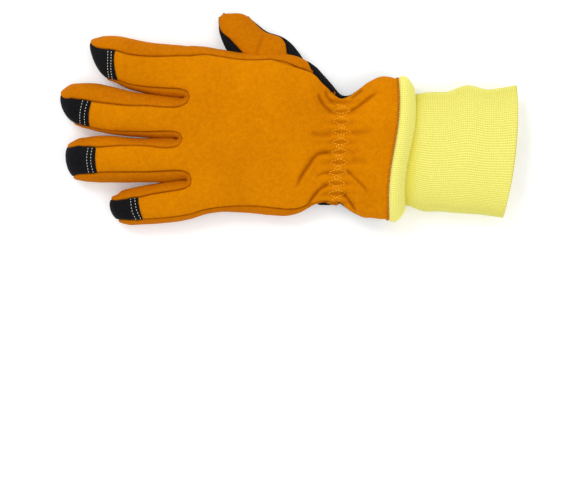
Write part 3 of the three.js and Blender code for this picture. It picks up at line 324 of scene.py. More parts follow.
back_shares = column_shares(BACK_CELLS)
back_along = mix(aT, aL, back_shares) + drawn_forward(back_shares, 0) + hem_wave(back_shares)
back_grid = place(
    back_along,
    mix(cT, cL, back_shares),
    mix(hT, hL, back_shares) + crown * dome(back_shares, BACK_POWER),
)
palm_shares = column_shares(PALM_CELLS)
palm_power = mix(PALM_POWER, HEM_POWER, oval - 1)
roll_share = np.clip(np.arange(4 * PALM_CELLS + 1) / (ROLL_REACH * 4 * PALM_CELLS), 0, 1)
peep = bell(row_number - PEEP_ROW, PEEP_ROWS, 4)[:, None]
peep_share = np.clip((palm_shares - (1 - PEEP_EDGE)) / PEEP_EDGE, 0, 1)
edge_roll = roll * np.sin(np.pi * roll_share) - PEEP_WIDTH * peep * np.sin(np.pi * peep_share) ** 0.7
palm_grid = place(
    mix(aT, aL, palm_shares) + drawn_forward(palm_shares, 0.006) + hem_wave(palm_shares),
    mix(cT + leanT, cL + leanL, palm_shares) + edge_roll,
    mix(mix(pT, pL, palm_shares), low, dome(palm_shares, palm_power)),
)
hand_core = (back_grid[:, 0] + back_grid[:, -1] + palm_grid[:, 0] + palm_grid[:, -1]) / 4
print("back of the hand:", back_grid.shape[:2], "palm:", palm_grid.shape[:2])

# %% [markdown]
# ## The fingers
# Each finger is a box of four sheets: back, palm side and two side strips. The palm leather runs round the
# nose of the fingertip and ends on the back as a cap. The end of a finger is a quarter of an ellipse seen
# from the side, so the rows there are spaced by angle.

# %% Seams of the fingers
NOSE_ANGLES = np.linspace(0, np.pi / 2, NOSE_STEPS + 1)[:-1]


def finger_seams(rows):
    """Four seams and three bulges of a finger, nose first."""
    aT, cT, aL, cL, hT, hL, pT, pL, leanT, leanL, crown, bulgeT, bulgeL = np.array(rows).T
    seams = np.stack(
        [place(aT, cT, hT), place(aL, cL, hL), place(aT, cT + leanT, pT), place(aL, cL + leanL, pL)],
        axis=1,
    )
    bulges = WIDTH * np.stack([crown, bulgeT, bulgeL], axis=1)
    tip, full = seams[:2]
    nose = []
    for at in NOSE_ANGLES:
        level = mix(tip, full, 1 - math.cos(at))
        middle = (level[[0, 1, 0, 1]] + level[[2, 3, 2, 3]]) / 2
        nose.append(mix(middle, level, math.sin(at)))
    nose_bulges = bulges[0] * np.sin([np.full(NOSE_STEPS, np.pi / 2), NOSE_ANGLES, NOSE_ANGLES]).T
    return (
        np.concatenate([nose, through(seams[1:], STEPS)]),
        np.concatenate([nose_bulges, through(bulges[1:], STEPS)]),
    )


def bulged(side_a, side_b, bulge, cells, core):
    """Sheet between two seams, with a parabolic bulge away from the core."""
    middle = (side_a + side_b) / 2
    wide = side_b - side_a
    thin = np.linalg.norm(wide, axis=1) < SAME_PLACE
    wide[thin] = wide[np.roll(thin, 1)]
    normal = unit(np.cross(np.gradient(middle, axis=0), wide))
    away = np.sign(np.einsum("ij,ij->i", normal, middle - core))[:, None]
    share = closer_at_ends(np.linspace(0, 1, cells + 1))[None, :, None]
    flat = side_a[:, None] + (side_b - side_a)[:, None] * share
    return flat + (normal * away * bulge[:, None])[:, None] * 4 * share * (1 - share)


FINGERS = list(FINGER_ROWS)
seams, bulges = {}, {}
for name in FINGERS:
    seams[name], bulges[name] = finger_seams(FINGER_ROWS[name])
CAP_EDGE = NOSE_STEPS + STEPS  # row of a finger where the fingertip leather ends on its back
print("rows in each finger:", {name: len(rows) for name, rows in seams.items()})

# %% [markdown]
# ## Sheets and their edges
# A sewn edge isn't sharp. The leather turns down into the seam, so two sheets meet in a narrow groove,
# and the thread draws small puckers along it. Each sheet is therefore meshed, its creases are relaxed, and
# the points near an edge are drawn inwards to a line that both neighbours share.

# %% A sheet as one mesh
def cells_of(index):
    """The four corners of every cell in a grid of point numbers."""
    return np.stack([index[:-1, :-1], index[1:, :-1], index[1:, 1:], index[:-1, 1:]], axis=-1)


def facing_of(corners):
    """Direction that each four corners face, as long as their area."""
    return np.cross(corners[..., 2, :] - corners[..., 0, :], corners[..., 3, :] - corners[..., 1, :])


def outwards(quads, points, core):
    """The quads, turned over if they face the core."""
    corners = points[quads]
    away = corners.mean(axis=2) - (core[:-1] + core[1:])[:, None] / 2
    return quads[..., ::-1] if np.einsum("ijk,ijk->", facing_of(corners), away) < 0 else quads


class Sheet:
    """Grids of points joined into one surface with its faces outwards."""

    def __init__(self, name, grids, cores):
        points = np.concatenate([grid.reshape(-1, 3) for grid in grids])
        keys = np.round(points * 1e6).astype(np.int64)
        _, first, same = np.unique(keys, axis=0, return_index=True, return_inverse=True)
        self.name, self.points = name, points[first]
        faces, start = [], 0
        for grid, core in zip(grids, cores):
            size = grid.shape[0] * grid.shape[1]
            index = same.reshape(-1)[start : start + size].reshape(grid.shape[:2])
            start += size
            faces.append(outwards(cells_of(index), self.points, core).reshape(-1, 4))
        self.faces = np.concatenate(faces)
        self.shade = np.zeros(len(self.points))

    def edges(self):
        loops = np.stack([self.faces, np.roll(self.faces, -1, axis=1)], axis=-1).reshape(-1, 2)
        loops = np.sort(loops[loops[:, 0] != loops[:, 1]], axis=1)
        return np.unique(loops, axis=0, return_counts=True)

    def border(self):
        pairs, count = self.edges()
        return np.unique(pairs[count == 1])

    def normals(self):
        facing = facing_of(self.points[self.faces])
        total = np.zeros_like(self.points)
        for k in range(4):
            np.add.at(total, self.faces[:, k], facing)
        return unit(total)

    def neighbours(self, pairs):
        """Middle of the neighbours of each point, and how many it has."""
        total = np.zeros_like(self.points)
        np.add.at(total, pairs[:, 0], self.points[pairs[:, 1]])
        np.add.at(total, pairs[:, 1], self.points[pairs[:, 0]])
        count = np.bincount(pairs.ravel(), minlength=len(self.points))
        return total / np.maximum(count, 1)[:, None], count

    def relax(self, rounds):
        pairs, _ = self.edges()
        fixed = self.border()
        for _ in range(rounds):
            moved = mix(self.points, self.neighbours(pairs)[0], 0.5)
            moved[fixed] = self.points[fixed]
            self.points = moved

    def round_border(self, corner, reach, rounds):
        """Round off the border where it passes a corner."""
        pairs, count = self.edges()
        pairs = pairs[count == 1]
        near = np.linalg.norm(self.points - corner, axis=1) < reach
        for _ in range(rounds):
            middle, count = self.neighbours(pairs)
            chosen = near & (count == 2)
            self.points[chosen] = mix(self.points, middle, 0.5)[chosen]


def bridge(before, start, end, after):
    """Rows that carry one grid over into the next, as far as the gap between them asks."""
    gap = np.linalg.norm(end - start, axis=-1, keepdims=True)
    leave, arrive = unit(start - before) * gap, unit(after - end) * gap
    s = np.arange(BRIDGE + 1)[:, None, None] / BRIDGE
    return hermite(start, end, leave, arrive, s)


def waves(points, size, seed, count=14):
    """Smooth random swelling between -1 and 1, with bumps about `size` across."""
    rng = np.random.default_rng(seed)
    turn = unit(rng.normal(size=(count, 3)))
    pitch = 2 * np.pi / (size * rng.uniform(1.4, 2.6, count))
    phase = rng.uniform(0, 2 * np.pi, count)
    return np.cos(points @ (turn * pitch[:, None]).T + phase).sum(axis=1) / math.sqrt(count * 2)


# %% [markdown]
# ## Back and palm
# The palm leather runs round each fingertip and ends on the back as a black cap with a slightly hollow edge.
# The edge is lapped over the suede, so the suede dips a little under it and the cap stands proud.

# %% The back, finger by finger
CAP_BOW = (1.9, 1.0, 0.9, 0.9)  # rows by which the middle of each cap's edge lies nearer the fingertip
LAP = 5  # rows of the back that run on under the cap
BRIDGE = 3  # rows between a finger and the hand
CAP_DIP = 0.0014  # how far the suede dips under the cap
UNDER_BULGE = 0.6  # bulge of a finger's palm side, as a share of its back's


def cut_hollow(grid, bow):
    """The grid with its first edge hollowed towards the fingertip."""
    share = np.linspace(0, 1, grid.shape[1])[None]
    start = np.arange(len(grid))[:, None]
    at = start + bow * 4 * share * (1 - share) * np.clip(1 - start / CAP_EDGE, 0, 1)
    low = np.floor(at).astype(int)
    columns = np.arange(grid.shape[1])[None]
    return mix(grid[low, columns], grid[np.minimum(low + 1, len(grid) - 1), columns], (at - low)[..., None])


grids, cores = [], []
palm_grids, palm_cores = [], []
bridge_core = np.repeat(hand_core[:1], BRIDGE, axis=0)
for k, name in enumerate(FINGERS):
    line, swell = seams[name], bulges[name]
    core = line.mean(axis=1)
    count = len(line)
    fade = ease((count + STEPS - 1 - np.arange(count)) / (3 * STEPS))
    tip_core = np.where((np.arange(count) < CAP_EDGE)[:, None], core[CAP_EDGE], core)
    lap = CAP_EDGE - LAP
    top = bulged(line[lap:, 0], line[lap:, 1], (swell[:, 0] * fade)[lap:], BACK_CELLS, core[lap:])
    across = np.linspace(0, 1, BACK_CELLS + 1)[None]
    cap_edge = LAP - CAP_BOW[k] * 4 * across * (1 - across)
    under_cap = ease((cap_edge - 0.2 - np.arange(len(top))[:, None]) / 1.5)
    top[..., 2] -= CAP_DIP * under_cap * ease(6 * across) * ease(6 * (1 - across))
    first = back_grid[:, k * BACK_CELLS : (k + 1) * BACK_CELLS + 1]
    grids.append(np.concatenate([top[:-1], bridge(top[-4], top[-1], first[0], first[4])]))
    cores.append(np.concatenate([core[lap:], bridge_core]))
    cap = slice(CAP_EDGE, None, -1)
    wrap = [np.concatenate([line[cap, side], line[1:, side + 2]]) for side in (0, 1)]
    under_swell = swell[:, 0] * mix(1, UNDER_BULGE * fade, ease(np.arange(count) / CAP_EDGE))
    wrap_swell = np.concatenate([swell[cap, 0], under_swell[1:]])
    wrap_core = np.concatenate([tip_core[cap], tip_core[1:]])
    under = cut_hollow(bulged(*wrap, wrap_swell, PALM_CELLS, wrap_core), CAP_BOW[k])
    first = palm_grid[:, k * PALM_CELLS : (k + 1) * PALM_CELLS + 1]
    palm_grids.append(np.concatenate([under[:-1], bridge(under[-4], under[-1], first[0], first[4])]))
    palm_cores.append(np.concatenate([wrap_core, bridge_core]))
back = Sheet("back_leather", [*grids, back_grid], [*cores, hand_core])
palm = Sheet("palm_leather", [*palm_grids, palm_grid], [*palm_cores, hand_core])
print(back.name, len(back.faces), "faces;", palm.name, len(palm.faces), "faces")

# %% Side strips of the fingers and the hand
KNUCKLE_X, KNUCKLE_REACH = -0.045, 0.011  # where the forefinger's strip is stretched over the knuckle
END_SWELL = 0.0006  # the ends of the two long strips stay a little proud
FORK_BULGE = 1.1  # the strips bulge a little more at a fork than at the fingers
GUSSET_SWELL, GUSSET_ROWS = 0.0014, 40  # the padding pushes the strip out within these rows of the fork


def seam_run(part, side, hand_rows):
    """Both seams, core and bulge from a fingertip to the forks, then down the hand for some rows."""
    line, swell = seams[FINGERS[part]], bulges[FINGERS[part]][:, side + 1]
    hand_swell = WIDTH * (bulgeT, bulgeL)[side][:, 0]
    over = np.linspace(swell[-1], hand_swell[0], BRIDGE + 1)[1:]
    runs = (
        (line[:, side], grids[part][-BRIDGE:, -side], back_grid[1:hand_rows, -side]),
        (line[:, side + 2], palm_grids[part][-BRIDGE:, -side], palm_grid[1:hand_rows, -side]),
        (line.mean(axis=1), bridge_core, hand_core[1:hand_rows]),
        (swell, over, hand_swell[1:hand_rows]),
    )
    return [np.concatenate(run) for run in runs]


def strip_sheet(name, top, base, core, swell):
    return Sheet(name, [bulged(top, base, swell, SIDE_CELLS, core)], [core])


side_sheets = []
for name, part, side, rows, fade, knuckle in (
    ("index_side", 0, 0, SIDE_END[0], 1.1, 0.0016),
    ("little_side", 3, 1, SIDE_END[1], 2.2, 0),
):
    top, base, core, swell = seam_run(part, side, rows + 1)
    left = len(swell) - 1 - np.arange(len(swell))
    swell = swell * ease(left / (fade * STEPS)) + END_SWELL * ease(1 - left / (1.6 * STEPS))
    swell += knuckle * bell(top[:, 0] - KNUCKLE_X, KNUCKLE_REACH)
    side_sheets.append(strip_sheet(name, top, base, core, swell))
for k in range(3):
    near, far = seam_run(k, 1, 1), seam_run(k + 1, 0, 1)
    fork_swell = min(bulges[FINGERS[k]][-1, 2], bulges[FINGERS[k + 1]][-1, 1]) * FORK_BULGE
    for run in (near, far):
        run[3][-BRIDGE:] = np.linspace(run[3][-BRIDGE - 1], fork_swell, BRIDGE + 1)[1:]
    joined = [np.concatenate([one, two[-2::-1]]) for one, two in zip(near, far)]
    # At the fork the strip faces the fingertips, so its core is a point inside the hand
    middle = len(near[0]) - 1
    from_fork = np.abs(np.arange(len(joined[3])) - middle)
    joined[3][:] += GUSSET_SWELL * ease((GUSSET_ROWS - from_fork) / (GUSSET_ROWS / 2))
    joined[2][middle - BRIDGE : middle + BRIDGE + 1] = back_grid[3 * STEPS, (k + 1) * BACK_CELLS]
    side_sheets.append(strip_sheet(f"gusset_{k + 1}", *joined))
print("side strips:", [sheet.name for sheet in side_sheets])

# %% [markdown]
# ## The thumb
# The thumb is a pocket of two sheets, suede on the back and black leather on the front, and it comes out from
# under the hand. The black leather is drawn up over both edges, so it shows as dark wedges beside the suede.
# Both sheets are arcs over and under the same two side lines, which is easier to keep closed than two shapes.

# %% Thumb
TURN_CELLS, ARC_CELLS = 10, 40
RIDGE = 0.0010  # height of the lapped seam up the front of the thumb
TIP_FROM, TIP_GROWTH = 0.6, 0.010  # the padding pushes the tip out: from where across, and by how much
PINCH = 0.12  # share of its width by which the very end is drawn in from both sides

thumb_rows = np.array(THUMB_ROWS)
thumb_line = []
for at in NOSE_ANGLES:
    level = mix(thumb_rows[0], thumb_rows[1], 1 - math.cos(at))
    level[6:8] = thumb_rows[1, 6:8] * math.sin(at)
    pinch = PINCH * (1 - math.sin(at)) * (level[2:4] - level[0:2])
    level[0:2], level[2:4] = level[0:2] + pinch, level[2:4] - pinch
    thumb_line.append(level)
thumb_line = np.concatenate([thumb_line, through(thumb_rows[1:], STEPS)])
thumb_line[:, [1, 3]] += TIP_GROWTH * ease((thumb_line[:, [1, 3]] - TIP_FROM) / 0.12)
finger_side = place(thumb_line[:, 0], thumb_line[:, 1], thumb_line[:, 4])[:, None]
wrist_side = place(thumb_line[:, 2], thumb_line[:, 3], thumb_line[:, 5])[:, None]
rise, fall, turn_F, turn_W = (thumb_line[:, column, None] for column in (6, 7, 8, 9))
thumb_core = (finger_side + wrist_side)[:, 0] / 2


def less_at_tip(turn, side, left, start, length):
    """How much black leather turns up: only a share of it is left near the tip."""
    return turn * mix(left, 1, ease((start - side[..., 1]) / length))


def thumb_arc(share, lift):
    """Points over (lift above 0) or under the line between the two sides of the thumb."""
    grid = mix(finger_side, wrist_side, half_cosine(share)[..., None])
    grid[..., 2] += lift * HEIGHT * np.sin(np.pi * share)
    return grid


turn_F = less_at_tip(turn_F, finger_side, 0.3, 0.0785, 0.012)
turn_W = less_at_tip(turn_W, wrist_side, 0.4, 0.0810, 0.010)
step = np.linspace(0, 1, ARC_CELLS + 1)[None]
turn = np.linspace(1, 0, TURN_CELLS + 1)[None]
thumb_back = Sheet("thumb_back_leather", [thumb_arc(mix(turn_F, 1 - turn_W, step), rise)], [thumb_core])
front = thumb_arc(step + 0 * fall, -fall)
front[..., 2] -= RIDGE * bell(step - 0.5, 0.04) * np.minimum(fall / 0.13, 1)
over_F = thumb_arc(turn_F * turn[:, :-1], rise)
over_W = thumb_arc(1 - turn_W * turn[:, -2::-1], rise)
thumb_front = Sheet("thumb_front_leather", [np.concatenate([over_F, front, over_W], axis=1)], [thumb_core])
print("thumb:", len(thumb_back.faces) + len(thumb_front.faces), "faces")

# %% [markdown]
# ## Folds, gathers and pressed lines
# Elastic sewn across the wrist draws the back into ripples, and long folds run out of it into the hand and
# the flare. A cloth simulation makes folds too, but not these ones in these places. So each fold is a line
# with a depth and a width: a sharp valley with a raised bank on one side or both, as in stiff leather.

# %% Folds in millimetres: depth, half width, side of the bank, how much shade is painted into the valley, points
CREASES = [
    (2.4, 1.5, 1, 1.00,
     [(60.5, -14.0), (54.0, -14.4), (49.0, -15.5), (45.4, -18.7), (42.5, -23.0),
      (38.9, -28.1), (36.0, -33.1), (33.8, -38.2), (31.0, -43.2)]),
    (0.9, 0.9, 1, 0.70, [(59.0, -28.4), (54.0, -28.8), (50.4, -30.2), (46.1, -33.1)]),
    (2.1, 1.3, 1, 1.00,
     [(57.6, -36.7), (52.6, -38.9), (49.0, -41.8),
      (45.4, -46.1), (42.5, -50.4), (38.9, -54.7)]),
    (1.7, 1.5, 1, 0.90, [(49.0, 28.8), (50.4, 23.8), (53.3, 19.4), (56.2, 16.6), (61.2, 13.0)]),
    (1.3, 1.2, 1, 0.80, [(54.0, 30.2), (56.2, 25.2), (61.2, 20.9)]),
    (1.2, 2.2, 0, 0.50, [(43.2, 0.0), (50.4, -1.8), (60.5, -1.8)]),
    (0.9, 3.0, 0, 0.35, [(72.0, -0.7), (79.2, 0.0), (87.8, 1.4)]),
    (2.0, 1.5, 1, 0.90, [(70.6, 14.4), (77.8, 18.7), (82.1, 22.0), (86.4, 25.2), (93.6, 30.2)]),
    (1.3, 1.2, 1, 0.80, [(72.0, 24.1), (77.8, 28.1), (82.1, 32.4)]),
    (1.3, 1.2, -1, 0.80,
     [(68.4, -25.2), (72.0, -29.5), (75.6, -33.1),
      (79.2, -36.7), (82.8, -41.0), (85.7, -46.8)]),
    (2.1, 1.4, -1, 1.00, [(65.5, -42.5), (69.8, -46.8), (72.0, -49.7), (74.2, -53.3), (77.0, -58.3)]),
    (0.8, 3.2, 0, 0.35, [(72.0, -19.4), (79.2, -20.2), (85.0, -21.6)]),
    (0.6, 0.8, 0, 0.60, [(14.4, 55.4), (22.3, 50.5), (28.8, 48.4), (36.0, 47.1), (40.3, 45.4)]),
]
THUMB_CREASES = [
    (0.9, 1.6, 0, 0.45, [(10.1, 71.0), (8.2, 66.2), (6.1, 60.5), (4.3, 54.0)]),
    (0.6, 1.4, 0, 0.30, [(26.0, 60.0), (22.0, 57.0), (19.5, 52.5)]),
]
NEAR, FAR = 0.012, 9.0  # a fold acts on points this near; others count as far away
GATHER_X, GATHER_BEND = 0.0618, 0.0040  # where the elastic lies along the glove, and how far it bends away
RIPPLE, RIPPLE_REACH = 0.0073, 0.0105  # one ripple of the gathers, and how far they reach from the elastic
RIPPLE_FLOOR, RIPPLE_DEPTH, THREAD_DEPTH = 0.0010, 0.0021, 0.0005
ZIGZAG_TURNS = 9
ZIGZAG_TOP, ZIGZAG_FOOT = 0.0195, -0.0475  # where the elastic stitching starts and ends, across the wrist


def run_length(points):
    """Length along a line up to each of its points."""
    return np.concatenate([[0], np.cumsum(np.linalg.norm(np.diff(points, axis=0), axis=1))])


def at_lengths(points, lengths, even):
    """Points of a line at the lengths asked for."""
    return np.stack([np.interp(even, lengths, column) for column in points.T], axis=1)


def smooth_line(points, pitch=0.0005):
    """Even points along a curve through the given ones."""
    points = np.asarray(points, float)
    curve = through(points, 12) if len(points) > 2 else points
    lengths = run_length(curve)
    even = np.linspace(0, lengths[-1], max(2, int(lengths[-1] / pitch)))
    return at_lengths(curve, lengths, even)


def to_line(points, line):
    """Distance to a line seen from above, share along it and side (+1 is left)."""
    distance, share, side = np.full(len(points), FAR), np.zeros(len(points)), np.zeros(len(points))
    flat = points[:, :2]
    close = ((flat > line.min(axis=0) - NEAR) & (flat < line.max(axis=0) + NEAR)).all(axis=1)
    gap = flat[close, None] - line[None]
    far = np.linalg.norm(gap, axis=2)
    at = far.argmin(axis=1)
    run = np.gradient(line, axis=0)[at]
    to = gap[np.arange(len(at)), at]
    distance[close], share[close] = far.min(axis=1), at / (len(line) - 1)
    side[close] = np.sign(run[:, 0] * to[:, 1] - run[:, 1] * to[:, 0])
    return distance, share, side


def gather_line(y):
    """Where the middle of the elastic lies for each place across the wrist."""
    return GATHER_X + GATHER_BEND * ease((y + 0.05) / 0.06)


def zigzag(offset, seed):
    """One zigzag row of the elastic; two of them make the honeycomb, sewn a little unevenly."""
    rng = np.random.default_rng(seed)
    y = np.linspace(ZIGZAG_TOP, ZIGZAG_FOOT, 2 * ZIGZAG_TURNS + 1)
    y = y + rng.uniform(-0.0007, 0.0007, len(y))
    swing = rng.uniform(0.0038, 0.0046, len(y)) * np.where(np.arange(len(y)) % 2, 1, -1) * np.sign(offset)
    return np.stack([gather_line(y) + offset + swing, y], axis=1)


ZIGZAGS = [zigzag(-0.0017, 3), zigzag(0.0017, 4)]


def folded(points, creases):
    """Depth of the folds under each point, and how much shade is painted into them."""
    depth, painted_shade = np.zeros(len(points)), np.zeros(len(points))
    for deep, wide, bank, dark, line in creases:
        away, share, side = to_line(points, smooth_line(np.array(line) / 1000))
        away = away * 1000 / wide
        taper = ease(share / 0.14) * ease((1 - share) / 0.3)
        valley = np.exp(-(away**1.5))
        lip = bell(away - 2.1, 0.9) * np.where(bank * side >= 0, 0.42, 0.08)
        depth += deep / 1000 * taper * (valley - lip)
        # painted shade along the bottom of each fold's valley
        painted_shade += dark * taper * bell(away, 0.75)
    return depth, painted_shade


def gathered(points):
    """Depth of the ripples along the elastic under each point, and how much shade is painted into them."""
    x, y = points[:, 0], points[:, 1]
    near = bell(x - gather_line(y), RIPPLE_REACH)
    wander = 0.5 * waves(points, 0.02, 5)
    ripple = (0.5 + 0.5 * np.cos(2 * np.pi * y / RIPPLE + wander)) ** 2
    depth = near * (RIPPLE_FLOOR + RIPPLE_DEPTH * ripple)
    for line in ZIGZAGS:
        away, _, _ = to_line(points, smooth_line(line))
        depth += THREAD_DEPTH * bell(away, 0.0008)
    # painted shade in the deepest part of each ripple
    return depth, 0.5 * near * ripple


def press(sheet, depth, painted_shade):
    """Push the top of a sheet down and paint shade into it there."""
    share_up = np.clip((sheet.normals()[:, 2] - 0.05) / 0.5, 0, 1)
    sheet.points[:, 2] -= depth * share_up
    sheet.shade += painted_shade * share_up
    print(sheet.name, "pressed down at most %.1f mm" % (1000 * (depth * share_up).max()))


press(thumb_back, *folded(thumb_back.points, THUMB_CREASES))
press(back, *np.add(folded(back.points, CREASES), gathered(back.points)))

# %% Seams: neighbours are drawn inwards together
SEAM_GAP = 0.0006  # borders of two sheets nearer than this are one seam
SEAM_REACH = 0.012  # how far from a seam its pull is felt
SINKS = ((0.0010, 0.0008), (0.0004, 0.0026))  # depth and width of the groove and of the soft slope beside it
PUCKER = 0.00018


def search_tree(points, numbers):
    """Tree that finds the number of the point nearest to a place."""
    tree = KDTree(len(points))
    for number, point in zip(numbers, points):
        tree.insert(Vector(point), number)
    tree.balance()
    return tree


SEWN = [back, palm, *side_sheets, thumb_back, thumb_front]
forks = [
    grid[0, (k + 1) * cells]
    for grid, cells in ((back_grid, BACK_CELLS), (palm_grid, PALM_CELLS))
    for k in range(3)
]
for sheet in SEWN:
    for fork in forks:
        sheet.round_border(fork, 0.004, 8)
    for corner in (finger_side[0, 0], wrist_side[0, 0]):
        sheet.round_border(corner, 0.006, 30)
    sheet.relax(4)
borders = [(sheet, sheet.border(), sheet.normals()) for sheet in SEWN]
edge_points = np.concatenate([sheet.points[index] for sheet, index, _ in borders])
facing = np.concatenate([normals[index] for _, index, normals in borders])
owner = np.repeat(range(len(borders)), [len(index) for _, index, _ in borders])
all_edges = search_tree(edge_points, range(len(edge_points)))
for number, (sheet, index, normals) in enumerate(borders):
    inward = {}
    for i in index:
        near = [n for _, n, _ in all_edges.find_range(Vector(sheet.points[i]), SEAM_GAP)]
        if (owner[near] != number).any():
            inward[i] = -unit(facing[near].sum(axis=0))
    if not inward:
        continue
    own = search_tree(sheet.points[list(inward)], inward)
    lumps = waves(sheet.points, 0.005, 11)
    for i, point in enumerate(sheet.points):
        _, at, away = own.find(Vector(point))
        if away > SEAM_REACH:
            continue
        sink = sum(depth * bell(away, width) for depth, width in SINKS)
        pucker = PUCKER * lumps[i] * math.exp(-away / 0.003) * min(away / 0.001, 1)
        sheet.points[i] = point + inward[at] * sink + normals[i] * pucker
        # painted shade in the groove of the seam
        sheet.shade[i] += 0.6 * bell(away, 0.0007)
print("seams drawn in on", len(SEWN), "sheets")

# %% Soft unevenness of worn leather
WORN = ((0.00016, 0.022, 20), (0.00006, 0.007, 40))  # height, width across and seed of two swellings
for sheet in SEWN:
    firm = np.ones(len(sheet.points))
    firm[sheet.border()] = 0
    swell = sum(height * waves(sheet.points, size, seed) for height, size, seed in WORN)
    sheet.points = sheet.points + sheet.normals() * (swell * firm)[:, None]

# %% The cap leather stands proud of the suede at each fingertip
CAP_LIFT = 0.0005
cap_line = np.concatenate([grid[0] for grid in palm_grids])
side_line = np.concatenate([sheet.points[sheet.border()] for sheet in side_sheets])
near_cap, sewn = (search_tree(line, range(len(line))) for line in (cap_line, side_line))
normals = palm.normals()
for i, point in enumerate(palm.points):
    from_edge = near_cap.find(Vector(point))[2]
    if from_edge < SEAM_REACH:
        firm = ease(sewn.find(Vector(point))[2] / 0.003)
        palm.points[i] = point + normals[i] * CAP_LIFT * firm * (1 - ease((from_edge - 0.004) / 0.008))

# %% [markdown]
# ## Patch, tab and knit
# The wear patch is a flat second layer under the palm. The pull tab is a loop-shaped tongue sewn to the hem
# on the palm side. The cuff is a rib-knit tube that is turned back on itself in a soft roll at the hem.

# %% Wear patch
PATCH_LEVEL = 0.0007  # height of its underside above the floor


def spread(rows):
    """Grid of a flat piece from rows that say where each lies, and from where to where it runs."""
    line = through(rows, 6)
    share = np.linspace(0, 1, 61)[None, :]
    return mix(line[:, 1:2], line[:, 2:3], share), line[:, 0:1] + 0 * share


along, across = spread(PATCH_ROWS)
patch_grid = place(along, across, 0)
patch_grid[..., 2] = PATCH_LEVEL
patch = Sheet("wear_patch", [patch_grid], [patch_grid[:, 0] + [0, 0, 0.03]])

# %% Pull tab
hem_T, hem_L = hand[-1, 1], hand[-1, 3]


def hem_place(across, past):
    """Point on the palm side of the hem, or past it."""
    share = np.clip((hem_T - across) / (hem_T - hem_L), 0, 1)
    along = mix(hand[-1, 0], hand[-1, 2], share) + HEM_WAVE * np.sin(2 * np.pi * share)
    fall = (1 - np.abs(2 * share - 1) ** HEM_POWER) ** (1 / 2)
    height = mix(mix(hand[-1, 7], hand[-1, 8], share), hand[-1, 11], fall)
    return place(along + past, across, mix(height, 0.02, ease(past / 0.075)))


tab_grid = hem_place(*spread(TAB_ROWS))
tab = Sheet("tab_leather", [tab_grid], [tab_grid[:, 0] + [0, 0, 0.06]])

# %% Knit tube and its roll
RIB = 0.0015  # width of one rib
CELLS_A_RIB = 4
CREASE = 12  # line of the cuff where the roll meets it
HEM_INSET, KNIT_GAP = 0.00145, 0.00035  # how far the roll lies inside the hem and outside the cuff
hem_loop = np.concatenate([back_grid[-1], palm_grid[-1][-2::-1]])
back_ring, palm_ring = np.linspace(0, np.pi, 4 * BACK_CELLS + 1), np.linspace(0, -np.pi, 4 * PALM_CELLS + 1)
ring = np.concatenate([back_ring, palm_ring[-2::-1] + 2 * np.pi])
lengths = run_length(hem_loop)
ribs = round(lengths[-1] / RIB)
KNIT_CELLS = CELLS_A_RIB * ribs
even = np.linspace(0, lengths[-1], KNIT_CELLS + 1)
loop = at_lengths(hem_loop, lengths, even)
angles = np.interp(even, lengths, ring)


def cuff_ring(row, angles, extra=0.0):
    """Flattened oval round the cuff for one line of the table."""
    aT, cT, aL, cL, middle, half, bow = row
    side, up = np.cos(angles), np.sin(angles)
    across = (cT + cL) / 2 + ((cT - cL) / 2 + extra / WIDTH) * side
    round_up = np.abs(up) ** (2 / 2.3) * np.sign(up)
    along = mix(aT, aL, (1 - side) / 2) + bow * (1 - side * side)
    return place(along, across, middle + (half + extra / HEIGHT) * round_up)


cuff_lines = through(CUFF_ROWS, 6)
cuff_even = np.linspace(0, 2 * np.pi, KNIT_CELLS + 1)
cuff_grid = np.stack([cuff_ring(row, cuff_even) for row in cuff_lines])
cuff_core = place(*((cuff_lines[:, :2] + cuff_lines[:, 2:4]) / 2).T, cuff_lines[:, 4])
run = np.roll(loop[:-1], -1, axis=0) - np.roll(loop[:-1], 1, axis=0)
hem_out = unit(np.stack([np.zeros(len(run)), run[:, 2], -run[:, 1]], axis=1))
hem_out = np.concatenate([hem_out, hem_out[:1]])
roll_grid = []
for past, inward, swell in through(ROLL_ROWS, 6):
    above = ease((hem_out[:, 2:3] + 0.6) / 0.9)
    outer = loop - hem_out * (HEM_INSET - swell * WIDTH * above)
    inner = cuff_ring(CUFF_ROWS[2], angles, KNIT_GAP)
    mixed = mix(outer, inner, inward)
    mixed[:, 0] = loop[:, 0] + past * LENGTH
    roll_grid.append(mixed)
roll_grid = np.array(roll_grid)
print("ribs round the knit:", ribs)

# %% [markdown]
# ## Materials
# Suede is matte with a brushed nap, so its colour drifts in patches, its surface is finely rough and a
# little sheen shows at grazing angles. The shade that falls in the folds and seams is painted into the
# colour, which the sheets carry as an attribute called shade. Knit is a matt yarn, with shade painted between
# the ribs.

# %% Node helpers
def new_material(name):
    material = bpy.data.materials.new(name)
    material.use_nodes = True
    tree = material.node_tree
    return material, tree, tree.nodes["Principled BSDF"]


def node(tree, kind, inputs=None, **settings):
    made = tree.nodes.new(kind)
    for key, value in settings.items():
        setattr(made, key, value)
    for key, value in (inputs or {}).items():
        if isinstance(value, bpy.types.NodeSocket):
            tree.links.new(value, made.inputs[key])
        else:
            made.inputs[key].default_value = value
    return made


def object_point(tree):
    return node(tree, "ShaderNodeTexCoord").outputs["Object"]


def noise(tree, at, scale, detail=3.0, roughness=0.55, distortion=0.0):
    values = {"Vector": at, "Scale": scale, "Detail": detail}
    values |= {"Roughness": roughness, "Distortion": distortion}
    return node(tree, "ShaderNodeTexNoise", values).outputs["Fac"]


def ramp(tree, value, stops):
    made = node(tree, "ShaderNodeValToRGB", {"Fac": value})
    elements = made.color_ramp.elements
    for i, (position, colour) in enumerate(stops):
        element = elements[i] if i < 2 else elements.new(position)
        element.position, element.color = position, (*colour, 1)
    return made.outputs["Color"]


def blend(tree, kind, factor, one, two):
    made = node(tree, "ShaderNodeMix", {0: factor, 6: one, 7: two}, data_type="RGBA", blend_type=kind)
    return made.outputs[2]


